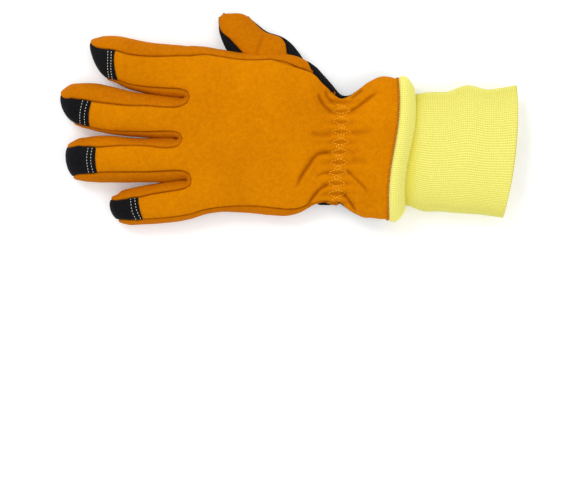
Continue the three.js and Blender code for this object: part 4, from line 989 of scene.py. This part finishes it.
def maths(tree, operation, one, two=0.0, clamp=False):
    made = node(tree, "ShaderNodeMath", {0: one, 1: two}, operation=operation, use_clamp=clamp)
    return made.outputs[0]


def weighted(tree, *parts):
    """Sum of values, each times its weight."""
    terms = [maths(tree, "MULTIPLY", value, weight) for value, weight in parts]
    total = terms[0]
    for term in terms[1:]:
        total = maths(tree, "ADD", total, term)
    return total


def attribute(tree, name):
    return node(tree, "ShaderNodeAttribute", attribute_name=name).outputs["Fac"]


def darkened(tree, colour, amount, crease):
    """The colour, changed to the crease's where the sheet carries shade."""
    factor = maths(tree, "MULTIPLY", attribute(tree, "shade"), amount, clamp=True)
    return blend(tree, "MIX", factor, colour, (*crease, 1))


def roughened(tree, shader, height, strength, distance):
    bump = node(tree, "ShaderNodeBump", {"Height": height, "Strength": strength, "Distance": distance})
    tree.links.new(bump.outputs["Normal"], shader.inputs["Normal"])


def set_shader(shader, **values):
    for key, value in values.items():
        shader.inputs[key.replace("_", " ")].default_value = value


# %% Suede
def from_srgb(red, green, blue):
    shares = (red / 255, green / 255, blue / 255)
    return tuple(((c + 0.055) / 1.055) ** 2.4 if c > 0.0404 else c / 12.92 for c in shares)


def suede(name, dark, light, crease, gleam, bump_height):
    """Matte napped leather; gleam is the tint of its sheen."""
    material, tree, shader = new_material(name)
    at = object_point(tree)
    patches = noise(tree, at, 26.0, 3.0, 0.5)
    nap = noise(tree, at, 1000.0, 3.0, 0.6)
    brushed = noise(tree, at, 330.0, 2.0, 0.5, 0.6)
    tone = weighted(tree, (patches, 0.32), (nap, 0.38), (brushed, 0.30))
    colour = ramp(tree, tone, [(0.34, from_srgb(*dark)), (0.66, from_srgb(*light))])
    colour = darkened(tree, colour, 0.8, from_srgb(*crease))
    tree.links.new(colour, shader.inputs["Base Color"])
    roughened(tree, shader, maths(tree, "ADD", nap, brushed), 0.5, bump_height)
    rough = node(tree, "ShaderNodeMapRange", {"Value": patches, "To Min": 0.85, "To Max": 0.97})
    tree.links.new(rough.outputs[0], shader.inputs["Roughness"])
    set_shader(shader, Specular_IOR_Level=0.08, Specular_Tint=(*gleam, 1))
    set_shader(shader, Sheen_Weight=0.03, Sheen_Roughness=0.5, Sheen_Tint=(*gleam, 1))
    return material


GOLD, COOL = (1.0, 0.55, 0.1), (0.75, 0.78, 0.85)
tan_suede = suede("golden_suede", (188, 107, 1), (216, 131, 2), (140, 66, 1), GOLD, 0.0003)
deep_suede = suede("golden_suede_deep", (174, 94, 2), (202, 117, 4), (128, 60, 1), GOLD, 0.0003)
black_suede = suede("black_suede", (11, 11, 12), (24, 24, 26), (5, 5, 6), COOL, 0.00035)

grey_suede = suede("grey_suede", (30, 30, 31), (50, 50, 52), (12, 12, 13), COOL, 0.00035)


# %% Thread
def thread_material(name, colour):
    material, tree, shader = new_material(name)
    at = object_point(tree)
    values = {"Vector": at, "Scale": 900.0, "Distortion": 2.0}
    twist = node(tree, "ShaderNodeTexWave", values, bands_direction="DIAGONAL").outputs["Fac"]
    tone = weighted(tree, (twist, 0.5), (noise(tree, at, 300.0), 0.5))
    tinted = ramp(tree, tone, [(0.2, tuple(0.72 * c for c in colour)), (0.8, colour)])
    tree.links.new(tinted, shader.inputs["Base Color"])
    roughened(tree, shader, twist, 0.4, 0.0001)
    set_shader(shader, Roughness=0.75, Specular_IOR_Level=0.08)
    return material


white_thread = thread_material("thread_white", from_srgb(225, 225, 215))
yellow_thread = thread_material("thread_gold", from_srgb(250, 172, 32))
tan_thread = thread_material("thread_tan", from_srgb(222, 130, 6))
black_thread = thread_material("thread_black", from_srgb(26, 26, 28))

# %% Rib knit
YARN_ROW = 0.0013  # one row of knitting


def knit(name, high, low):
    material, tree, shader = new_material(name)
    at = object_point(tree)
    row = maths(tree, "SINE", maths(tree, "MULTIPLY", attribute(tree, "around"), 2 * math.pi))
    wave = weighted(tree, (attribute(tree, "along"), 2 * math.pi / YARN_ROW), (row, 1.1))
    loops = maths(tree, "ADD", maths(tree, "MULTIPLY", maths(tree, "SINE", wave), 0.5), 0.5)
    fuzz = noise(tree, at, 1500.0, 2.0)
    # painted shade: the colour is deeper in the hollows between the ribs
    tone = weighted(tree, (attribute(tree, "rib"), 0.6), (loops, 0.4))
    tone = weighted(tree, (tone, 0.8), (fuzz, 0.2))
    colour = ramp(tree, tone, [(0.15, low), (0.72, high)])
    colour = darkened(tree, colour, 0.7, from_srgb(236, 222, 70))
    blotch = maths(tree, "MULTIPLY", noise(tree, at, 30.0, 2.0), 0.18)
    colour = blend(tree, "MULTIPLY", blotch, colour, (0.86, 0.86, 0.6, 1))
    tree.links.new(colour, shader.inputs["Base Color"])
    roughened(tree, shader, maths(tree, "ADD", loops, maths(tree, "MULTIPLY", fuzz, 0.5)), 0.5, 0.00035)
    set_shader(shader, Roughness=0.9, Sheen_Weight=0.15)
    return material


yellow_knit = knit("lemon_rib_knit", from_srgb(250, 247, 140), from_srgb(217, 203, 60))
print("materials:", [material.name for material in bpy.data.materials])

# %% [markdown]
# ## Making the pieces
# Each sheet becomes a mesh with its shade as a point attribute, and a Solidify modifier gives the leather its
# thickness on the inside, so the shape outside stays as drawn. The modifier is applied, because the finished
# piece is then the same in every program that opens it.

# %% From sheets to objects
def new_object(name, points, faces, attributes=None):
    mesh = bpy.data.meshes.new(name)
    mesh.from_pydata(points.tolist(), [], faces.tolist())
    mesh.validate()
    for key, values in (attributes or {}).items():
        mesh.attributes.new(key, "FLOAT", "POINT").data.foreach_set("value", np.asarray(values, np.float32))
    made = bpy.data.objects.new(name, mesh)
    bpy.context.scene.collection.objects.link(made)
    return made


def baked(made):
    """The object with its modifiers turned into plain mesh."""
    graph = bpy.context.evaluated_depsgraph_get()
    mesh = bpy.data.meshes.new_from_object(made.evaluated_get(graph), depsgraph=graph)
    made.modifiers.clear()
    made.data = mesh
    return made


def finish_piece(made, material, slot, *nodes):
    if material:
        made.data.materials.clear()
        made.data.materials.append(material)
    made.data.polygons.foreach_set("use_smooth", np.ones(len(made.data.polygons), bool))
    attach(made, "root")
    if nodes:
        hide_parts(*nodes)
    print(made.name, len(made.data.polygons), "faces")
    return made


def add_wall(made, wall):
    """Thickness on the inside."""
    solid = made.modifiers.new("wall", "SOLIDIFY")
    solid.thickness, solid.offset = wall, -1
    return made


def leather_piece(sheet, material, slot, *nodes, wall=0.0013):
    made = new_object(sheet.name, sheet.points, sheet.faces, {"shade": np.clip(sheet.shade, 0, 1)})
    return finish_piece(baked(add_wall(made, wall)), material, slot, *nodes)


TAN, BLACK, YELLOW = "suede_tan", "suede_black", "knit_yellow"
PATCH_WALL, TAB_WALL, SIDE_WALL, BAND_WALL, KNIT_WALL = 0.0009, 0.0015, 0.0006, 0.0005, 0.0016
SIDE_NODES = (
    "sidewall_index",
    "sidewall_pinky",
    "fourchette_index_middle",
    "fourchette_middle_ring",
    "fourchette_ring_little",
)
leather_piece(back, tan_suede, TAN, "back_panel")
leather_piece(palm, black_suede, BLACK, "palm_panel")
leather_piece(thumb_back, deep_suede, TAN, "thumb_back")
leather_piece(thumb_front, black_suede, BLACK, "thumb_front")
leather_piece(patch, black_suede, BLACK, "palm_patch", wall=PATCH_WALL)
leather_piece(tab, black_suede, BLACK, "pull_tab", wall=TAB_WALL)
for sheet, side_node in zip(side_sheets, SIDE_NODES):
    leather_piece(sheet, deep_suede, TAN, side_node, wall=SIDE_WALL)

# %% [markdown]
# ## Ribs of the knit
# The ribs run the length of the tube and follow it over the roll. They could be modelled one by one, but they
# follow a rule, so a small Geometry Nodes tree lifts the surface along its normal by a wave that reads how
# far round the tube each point lies.

# %% Rib tree
def new_tree(name, inputs):
    """Geometry Nodes tree with its named inputs, and the nodes where it starts and ends."""
    tree = bpy.data.node_groups.new(name, "GeometryNodeTree")
    for label, kind in (("Geometry", "Geometry"), *inputs):
        tree.interface.new_socket(label, in_out="INPUT", socket_type="NodeSocket" + kind)
    tree.interface.new_socket("Geometry", in_out="OUTPUT", socket_type="NodeSocketGeometry")
    return tree, tree.nodes.new("NodeGroupInput"), tree.nodes.new("NodeGroupOutput")


def end_tree(tree, out, geometry, material):
    """Make what the tree built real, give it its material and hand it out."""
    real = node(tree, "GeometryNodeRealizeInstances", {"Geometry": geometry})
    dressed = node(tree, "GeometryNodeSetMaterial", {"Geometry": real.outputs[0], "Material": material})
    tree.links.new(dressed.outputs[0], out.inputs[0])
    return tree


def stored(tree, name, kind):
    return node(tree, "GeometryNodeInputNamedAttribute", {"Name": name}, data_type=kind).outputs["Attribute"]


def knit_tree():
    tree, given, out = new_tree("rib_knit", [("Rib depth", "Float"), ("Yarn", "Material")])
    wave = maths(tree, "COSINE", maths(tree, "MULTIPLY", stored(tree, "around", "FLOAT"), 2 * math.pi))
    rib = maths(tree, "ADD", maths(tree, "MULTIPLY", wave, 0.5), 0.5)
    height = maths(tree, "MULTIPLY", rib, given.outputs["Rib depth"])
    normal = node(tree, "GeometryNodeInputNormal").outputs[0]
    out_by = node(tree, "ShaderNodeVectorMath", {0: normal}, operation="SCALE")
    tree.links.new(height, out_by.inputs["Scale"])
    values = {"Geometry": given.outputs[0], "Name": "rib", "Value": rib}
    store = node(tree, "GeometryNodeStoreNamedAttribute", values, data_type="FLOAT", domain="POINT")
    values = {"Geometry": store.outputs[0], "Offset": out_by.outputs[0]}
    lifted = node(tree, "GeometryNodeSetPosition", values)
    return end_tree(tree, out, lifted.outputs[0], given.outputs["Yarn"])


def grow(made, tree, values):
    """Give the object the tree as a modifier, with the tree's named inputs set."""
    modifier = made.modifiers.new(tree.name, "NODES")
    modifier.node_group = tree
    for item in tree.interface.items_tree:
        if item.in_out == "INPUT" and item.name in values:
            modifier[item.identifier] = values[item.name]


KNIT_TREE = knit_tree()


def knit_piece(name, grid, core, nodes, rib_depth, shade):
    rows, cells = grid.shape[0], grid.shape[1] - 1
    points = grid[:, :-1].reshape(-1, 3)
    index = np.arange(rows * cells).reshape(rows, cells)
    index = np.concatenate([index, index[:, :1]], axis=1)
    faces = outwards(cells_of(index), points, core).reshape(-1, 4)
    step = np.linalg.norm(np.diff(grid, axis=0), axis=2).mean(axis=1)
    along = np.repeat(np.concatenate([[0], np.cumsum(step)]), cells)
    around = np.tile(np.arange(cells) / CELLS_A_RIB, rows)
    carried = {"around": around, "along": along, "shade": np.repeat(shade, cells)}
    made = new_object(name, points, faces, carried)
    grow(made, KNIT_TREE, {"Rib depth": rib_depth, "Yarn": yellow_knit})
    return finish_piece(baked(add_wall(made, KNIT_WALL)), None, YELLOW, *nodes)


CUFF_RIB, ROLL_RIB = 0.00062, 0.00030  # height of the ribs
past_crease = cuff_core[:, 0] - cuff_core[CREASE, 0]
cuff_shade = bell(past_crease, 0.004)
knit_piece("cuff_rib_knit", cuff_grid, cuff_core, ["cuff_knit"], CUFF_RIB, cuff_shade)
roll_shade = ease((np.linspace(0, 1, len(roll_grid)) - 0.75) / 0.25)
roll_core = np.repeat(cuff_core[CREASE : CREASE + 1], len(roll_grid), axis=0)
knit_piece("cuff_turned_roll", roll_grid, roll_core, ["cuff_roll"], ROLL_RIB, roll_shade)

# %% [markdown]
# ## Stitches
# Thread shows in rows of short stitches: white ones hold the fingertip caps, the wear patch and the lapped
# heel band, gold ones zigzag over the elastic, and a whip stitch binds the hem. They are hundreds of equal
# pieces on a path, which is what Geometry Nodes are for: the tree resamples the path to the stitch pitch and
# sets a small bead at each point, turned along the row and along the surface.

# %% Where the rows run, in millimetres seen from above
CAP_ROWS = [
    [(-99.4, 57.6), (-99.6, 51.1), (-99.8, 45.4), (-99.1, 38.5)],
    [(-101.9, 58.0), (-102.0, 51.1), (-102.1, 45.4), (-101.5, 40.3)],
    [(-116.5, 21.9), (-117.9, 17.3), (-118.9, 11.5), (-118.8, 6.1)],
    [(-120.0, 22.6), (-121.2, 18.0), (-122.2, 12.2), (-122.2, 7.2)],
    [(-113.2, -11.5), (-114.0, -16.6), (-113.9, -22.3), (-112.5, -28.1)],
    [(-116.1, -11.5), (-116.9, -16.6), (-116.8, -22.3), (-115.9, -28.1)],
    [(-82.7, -47.2), (-82.2, -51.1), (-81.1, -56.2), (-78.8, -61.3)],
    [(-85.7, -47.7), (-85.3, -51.8), (-84.4, -56.9), (-82.1, -61.9)],
]
PATCH_STITCH_ROWS = [
    [(-29.4, 51.2), (-32.5, 40.5), (-34.5, 29.2), (-35.0, 12.0),
     (-31.7, -5.0), (-26.9, -22.6), (-21.8, -43.5), (-17.3, -57.6)],
    [(-32.3, 50.1), (-35.2, 37.7), (-37.7, 18.9), (-36.6, 1.0),
     (-32.5, -17.3), (-27.5, -38.2), (-22.0, -57.6)],
    [(-21.6, 47.1), (-5.2, 6.7), (25.0, -47.5)],
    [(4.7, 32.5), (-4.2, -1.6), (-16.3, -56.9)],
]
BAND_EDGES = [
    [(35.9, -51.1), (35.7, -33.5), (34.8, -15.8), (33.1, 3.1), (31.2, 13.2), (29.5, 24.5)],
    [(25.3, -51.1), (24.8, -24.0), (24.2, -4.0), (24.0, 7.9), (23.3, 18.0), (21.6, 25.2)],
]
BASE_ROW = [(36.0, 22.7), (45.4, 21.6), (55.3, 20.4)]

# %% Rows laid onto the leather
THREAD_CLEAR = 0.0003  # how far a thread keeps off the floor
LINE_PITCH = 0.0004  # how close the points of a row lie before the tree spaces its stitches


def laid(sheets, line, from_above):
    """Points, surface normals and thread directions along a line dropped onto sheets."""
    points = np.concatenate([sheet.points for sheet in sheets])
    starts = np.cumsum([0] + [len(sheet.points) for sheet in sheets[:-1]])
    faces = np.concatenate([sheet.faces + start for sheet, start in zip(sheets, starts)])
    tree = BVHTree.FromPolygons(points.tolist(), faces.tolist())
    height, down = (0.2, -1) if from_above else (-0.1, 1)
    hits = [tree.ray_cast(Vector((x, y, height)), Vector((0, 0, down))) for x, y in line]
    hits = [hit for hit in hits if hit[0] is not None]
    spots, facing = (np.array([list(hit[k]) for hit in hits]) for k in (0, 1))
    facing *= np.sign(facing[:, 2:3] * -down)
    spots[:, 2] = np.maximum(spots[:, 2], THREAD_CLEAR)
    return spots, facing, unit(np.gradient(spots, axis=0))


def in_metres(line, pitch=LINE_PITCH):
    return smooth_line(np.array(line) / 1000, pitch)


def stitch_tree():
    sizes = [(label, "Float") for label in ("Pitch", "Length", "Thickness")]
    tree, given, out = new_tree("stitch_row", [*sizes, ("Thread", "Material")])
    lie, up = (stored(tree, name, "FLOAT_VECTOR") for name in ("lie", "up"))
    path = node(tree, "GeometryNodeMeshToCurve", {0: given.outputs["Geometry"]})
    values = {0: path.outputs[0], "Length": given.outputs["Pitch"]}
    even = node(tree, "GeometryNodeResampleCurve", values, mode="LENGTH")
    bead = node(tree, "GeometryNodeMeshUVSphere", {"Segments": 6, "Rings": 5, "Radius": 0.5})
    thick = given.outputs["Thickness"]
    size = node(tree, "ShaderNodeCombineXYZ", {0: given.outputs["Length"], 1: thick, 2: thick})
    along = node(tree, "FunctionNodeAlignRotationToVector", {"Vector": lie}, axis="X")
    values = {"Rotation": along.outputs[0], "Vector": up}
    turned = node(tree, "FunctionNodeAlignRotationToVector", values, axis="Z", pivot_axis="X")
    parts = {"Points": even, "Instance": bead, "Rotation": turned, "Scale": size}
    values = {key: part.outputs[0] for key, part in parts.items()}
    placed = node(tree, "GeometryNodeInstanceOnPoints", values)
    return end_tree(tree, out, placed.outputs[0], given.outputs["Thread"])


STITCH_TREE = stitch_tree()


def stitches(name, runs, thread, slot, bead):
    """One piece of thread beads along runs of (points, normals, directions)."""
    made = bpy.data.meshes.new(name)
    sizes = [len(run[0]) for run in runs]
    starts = np.cumsum([0] + sizes[:-1])
    edges = [(s + i, s + i + 1) for s, size in zip(starts, sizes) for i in range(size - 1)]
    points, up, lie = (np.concatenate([run[k] for run in runs]) for k in range(3))
    made.from_pydata(points.tolist(), edges, [])
    for key, values in (("up", up), ("lie", lie)):
        held = made.attributes.new(key, "FLOAT_VECTOR", "POINT").data
        held.foreach_set("vector", values.ravel().astype(np.float32))
    row = bpy.data.objects.new(name, made)
    bpy.context.scene.collection.objects.link(row)
    grow(row, STITCH_TREE, {**dict(zip(("Pitch", "Length", "Thickness"), bead)), "Thread": thread})
    return finish_piece(baked(row), None, slot)


# %% Fingertip caps and the elastic at the wrist
# Pitch of the stitches, then the length and the thickness of one bead, in metres
CAP_BEAD = (0.0020, 0.0014, 0.00050)
ELASTIC_BEAD = (0.0023, 0.0021, 0.00085)
HEM_BEAD = (0.0019, 0.0024, 0.0013)
PALM_BEAD = (0.0026, 0.0019, 0.00042)
TAB_BEAD = (0.0026, 0.0019, 0.00045)
cap_runs = [laid([palm], in_metres(line), True) for line in CAP_ROWS]
stitches("cap_stitches", cap_runs, white_thread, BLACK, CAP_BEAD)
elastic_runs = [laid([back], smooth_line(line, LINE_PITCH), True) for line in ZIGZAGS]
stitches("elastic_stitches", elastic_runs, yellow_thread, TAN, ELASTIC_BEAD)


# %% Hem: one stitch over the edge after another
HEM_CLEAR = 0.0008  # a hem stitch is thicker, so its middle keeps farther off the floor


def hem_run(grid):
    even = smooth_line(grid[-1], LINE_PITCH)
    even[:, 2] = np.maximum(even[:, 2], HEM_CLEAR)
    facing = unit(np.cross(np.gradient(even, axis=0), [1.0, 0, 0]))
    facing *= np.sign(facing[:, 2:3] * (even[:, 2:3] - 0.018))
    over = np.broadcast_to([1.0, 0, 0], even.shape) - 0.25 * facing
    return even + [0.0005, 0, 0], facing, unit(over)


stitches("hem_stitches_back", [hem_run(back_grid)], tan_thread, TAN, HEM_BEAD)
stitches("hem_stitches_palm", [hem_run(palm_grid)], black_thread, BLACK, HEM_BEAD)

# %% Palm: the lapped heel band
BAND_PROUD, BAND_CLEAR = 0.00045, 0.00028  # how far the band stands out of the palm and keeps off the floor
outer, inner = (in_metres(line, 0.001) for line in BAND_EDGES)
outer, inner = (line[np.linspace(0, len(line) - 1, 90).astype(int)] for line in (outer, inner))
columns = []
for share in np.linspace(0, 1, 13):
    spots, _, _ = laid([palm, patch], mix(outer, inner, share), False)
    proud = BAND_PROUD * ease(8 * share) * ease(8 * (1 - share)) - 0.0001
    spots[:, 2] = np.maximum(spots[:, 2] - proud, BAND_CLEAR)
    columns.append(spots)
kept = min(map(len, columns))
band_grid = np.stack([column[:kept] for column in columns], axis=1)
band = Sheet("heel_band", [band_grid], [band_grid.mean(axis=1) + [0, 0, 0.02]])
leather_piece(band, grey_suede, BLACK, wall=BAND_WALL)

# %% Palm: patch, quilting, band, thumb and tab
under = [palm, patch, thumb_front, band]
palm_runs = [laid(under, in_metres(line), False) for line in PATCH_STITCH_ROWS]
palm_runs += [laid([band], mix(outer, inner, share), False) for share in (0.14, 0.3, 0.84)]
palm_runs.append(laid(under, in_metres(BASE_ROW), False))
for shift in (-3, 3):
    line = front[NOSE_STEPS : -STEPS, ARC_CELLS // 2 + shift, :2]
    palm_runs.append(laid([thumb_front], smooth_line(line, LINE_PITCH), False))
stitches("palm_stitches", palm_runs, white_thread, BLACK, PALM_BEAD)

tab_rim = np.concatenate([tab_grid[:, 0, :2], tab_grid[-1, 1:-1, :2], tab_grid[::-1, -1, :2]])
tab_rim = smooth_line(tab_rim, 0.001)
run = unit(np.gradient(tab_rim, axis=0))
tab_inset = tab_rim + 0.0022 * np.stack([run[:, 1], -run[:, 0]], axis=1)  # 2.2 mm in from the rim
tab_inset = tab_inset[tab_inset[:, 0] > 0.1115]
tab_run = laid([tab], smooth_line(tab_inset, LINE_PITCH), False)
stitches("tab_stitches", [tab_run], white_thread, BLACK, TAB_BEAD)

# %% [markdown]
# ## Floor, light and camera
# The photograph is a flat product picture on white, so the floor is pale, the light is broad and soft, and
# the camera looks straight down from far away.

# %% Stage
floor_mesh = bpy.data.meshes.new("floor")
floor_mesh.from_pydata([(-3, -3, 0), (3, -3, 0), (3, 3, 0), (-3, 3, 0)], [], [(0, 1, 2, 3)])
floor = bpy.data.objects.new("floor", floor_mesh)
bpy.context.scene.collection.objects.link(floor)
floor_material, tree, shader = new_material("floor_white")
speck = noise(tree, object_point(tree), 60.0, 2.0)
pale = ramp(tree, speck, [(0.3, (0.93, 0.93, 0.93)), (0.7, (0.96, 0.96, 0.96))])
tree.links.new(pale, shader.inputs["Base Color"])
set_shader(shader, Roughness=0.9, Emission_Color=(1, 1, 1, 1), Emission_Strength=0.16)
floor_mesh.materials.append(floor_material)

# %% Lights and camera
world = bpy.data.worlds.new("studio")
world.use_nodes = True
world.node_tree.nodes["Background"].inputs["Color"].default_value = (1, 1, 1, 1)
world.node_tree.nodes["Background"].inputs["Strength"].default_value = 0.86
bpy.context.scene.world = world
bpy.context.scene.view_settings.view_transform = "Standard"


def soft_light(name, place_at, target, size, power):
    data = bpy.data.lights.new(name, "AREA")
    data.shape, data.size, data.energy = "DISK", size, power
    lamp = bpy.data.objects.new(name, data)
    lamp.location = place_at
    lamp.rotation_euler = (Vector(target) - Vector(place_at)).to_track_quat("-Z", "Y").to_euler()
    bpy.context.scene.collection.objects.link(lamp)


soft_light("key", (-0.7, 0.9, 1.3), (0.03, 0, 0), 0.9, 10)
soft_light("fill", (0.9, -0.6, 1.4), (0.03, 0, 0), 1.1, 4)

PIXEL = 0.00072  # metres of the glove to one pixel of the photograph
AWAY = 2.0
camera_data = bpy.data.cameras.new("camera")
camera_data.sensor_width = 36
camera_data.lens = 36 * AWAY / (584 * PIXEL)
camera = bpy.data.objects.new("camera", camera_data)
camera.location = ((292 - 250) * PIXEL, (133 - 240) * PIXEL, AWAY + 0.015)
bpy.context.scene.collection.objects.link(camera)
bpy.context.scene.camera = camera
print("lens %.0f mm" % camera_data.lens)
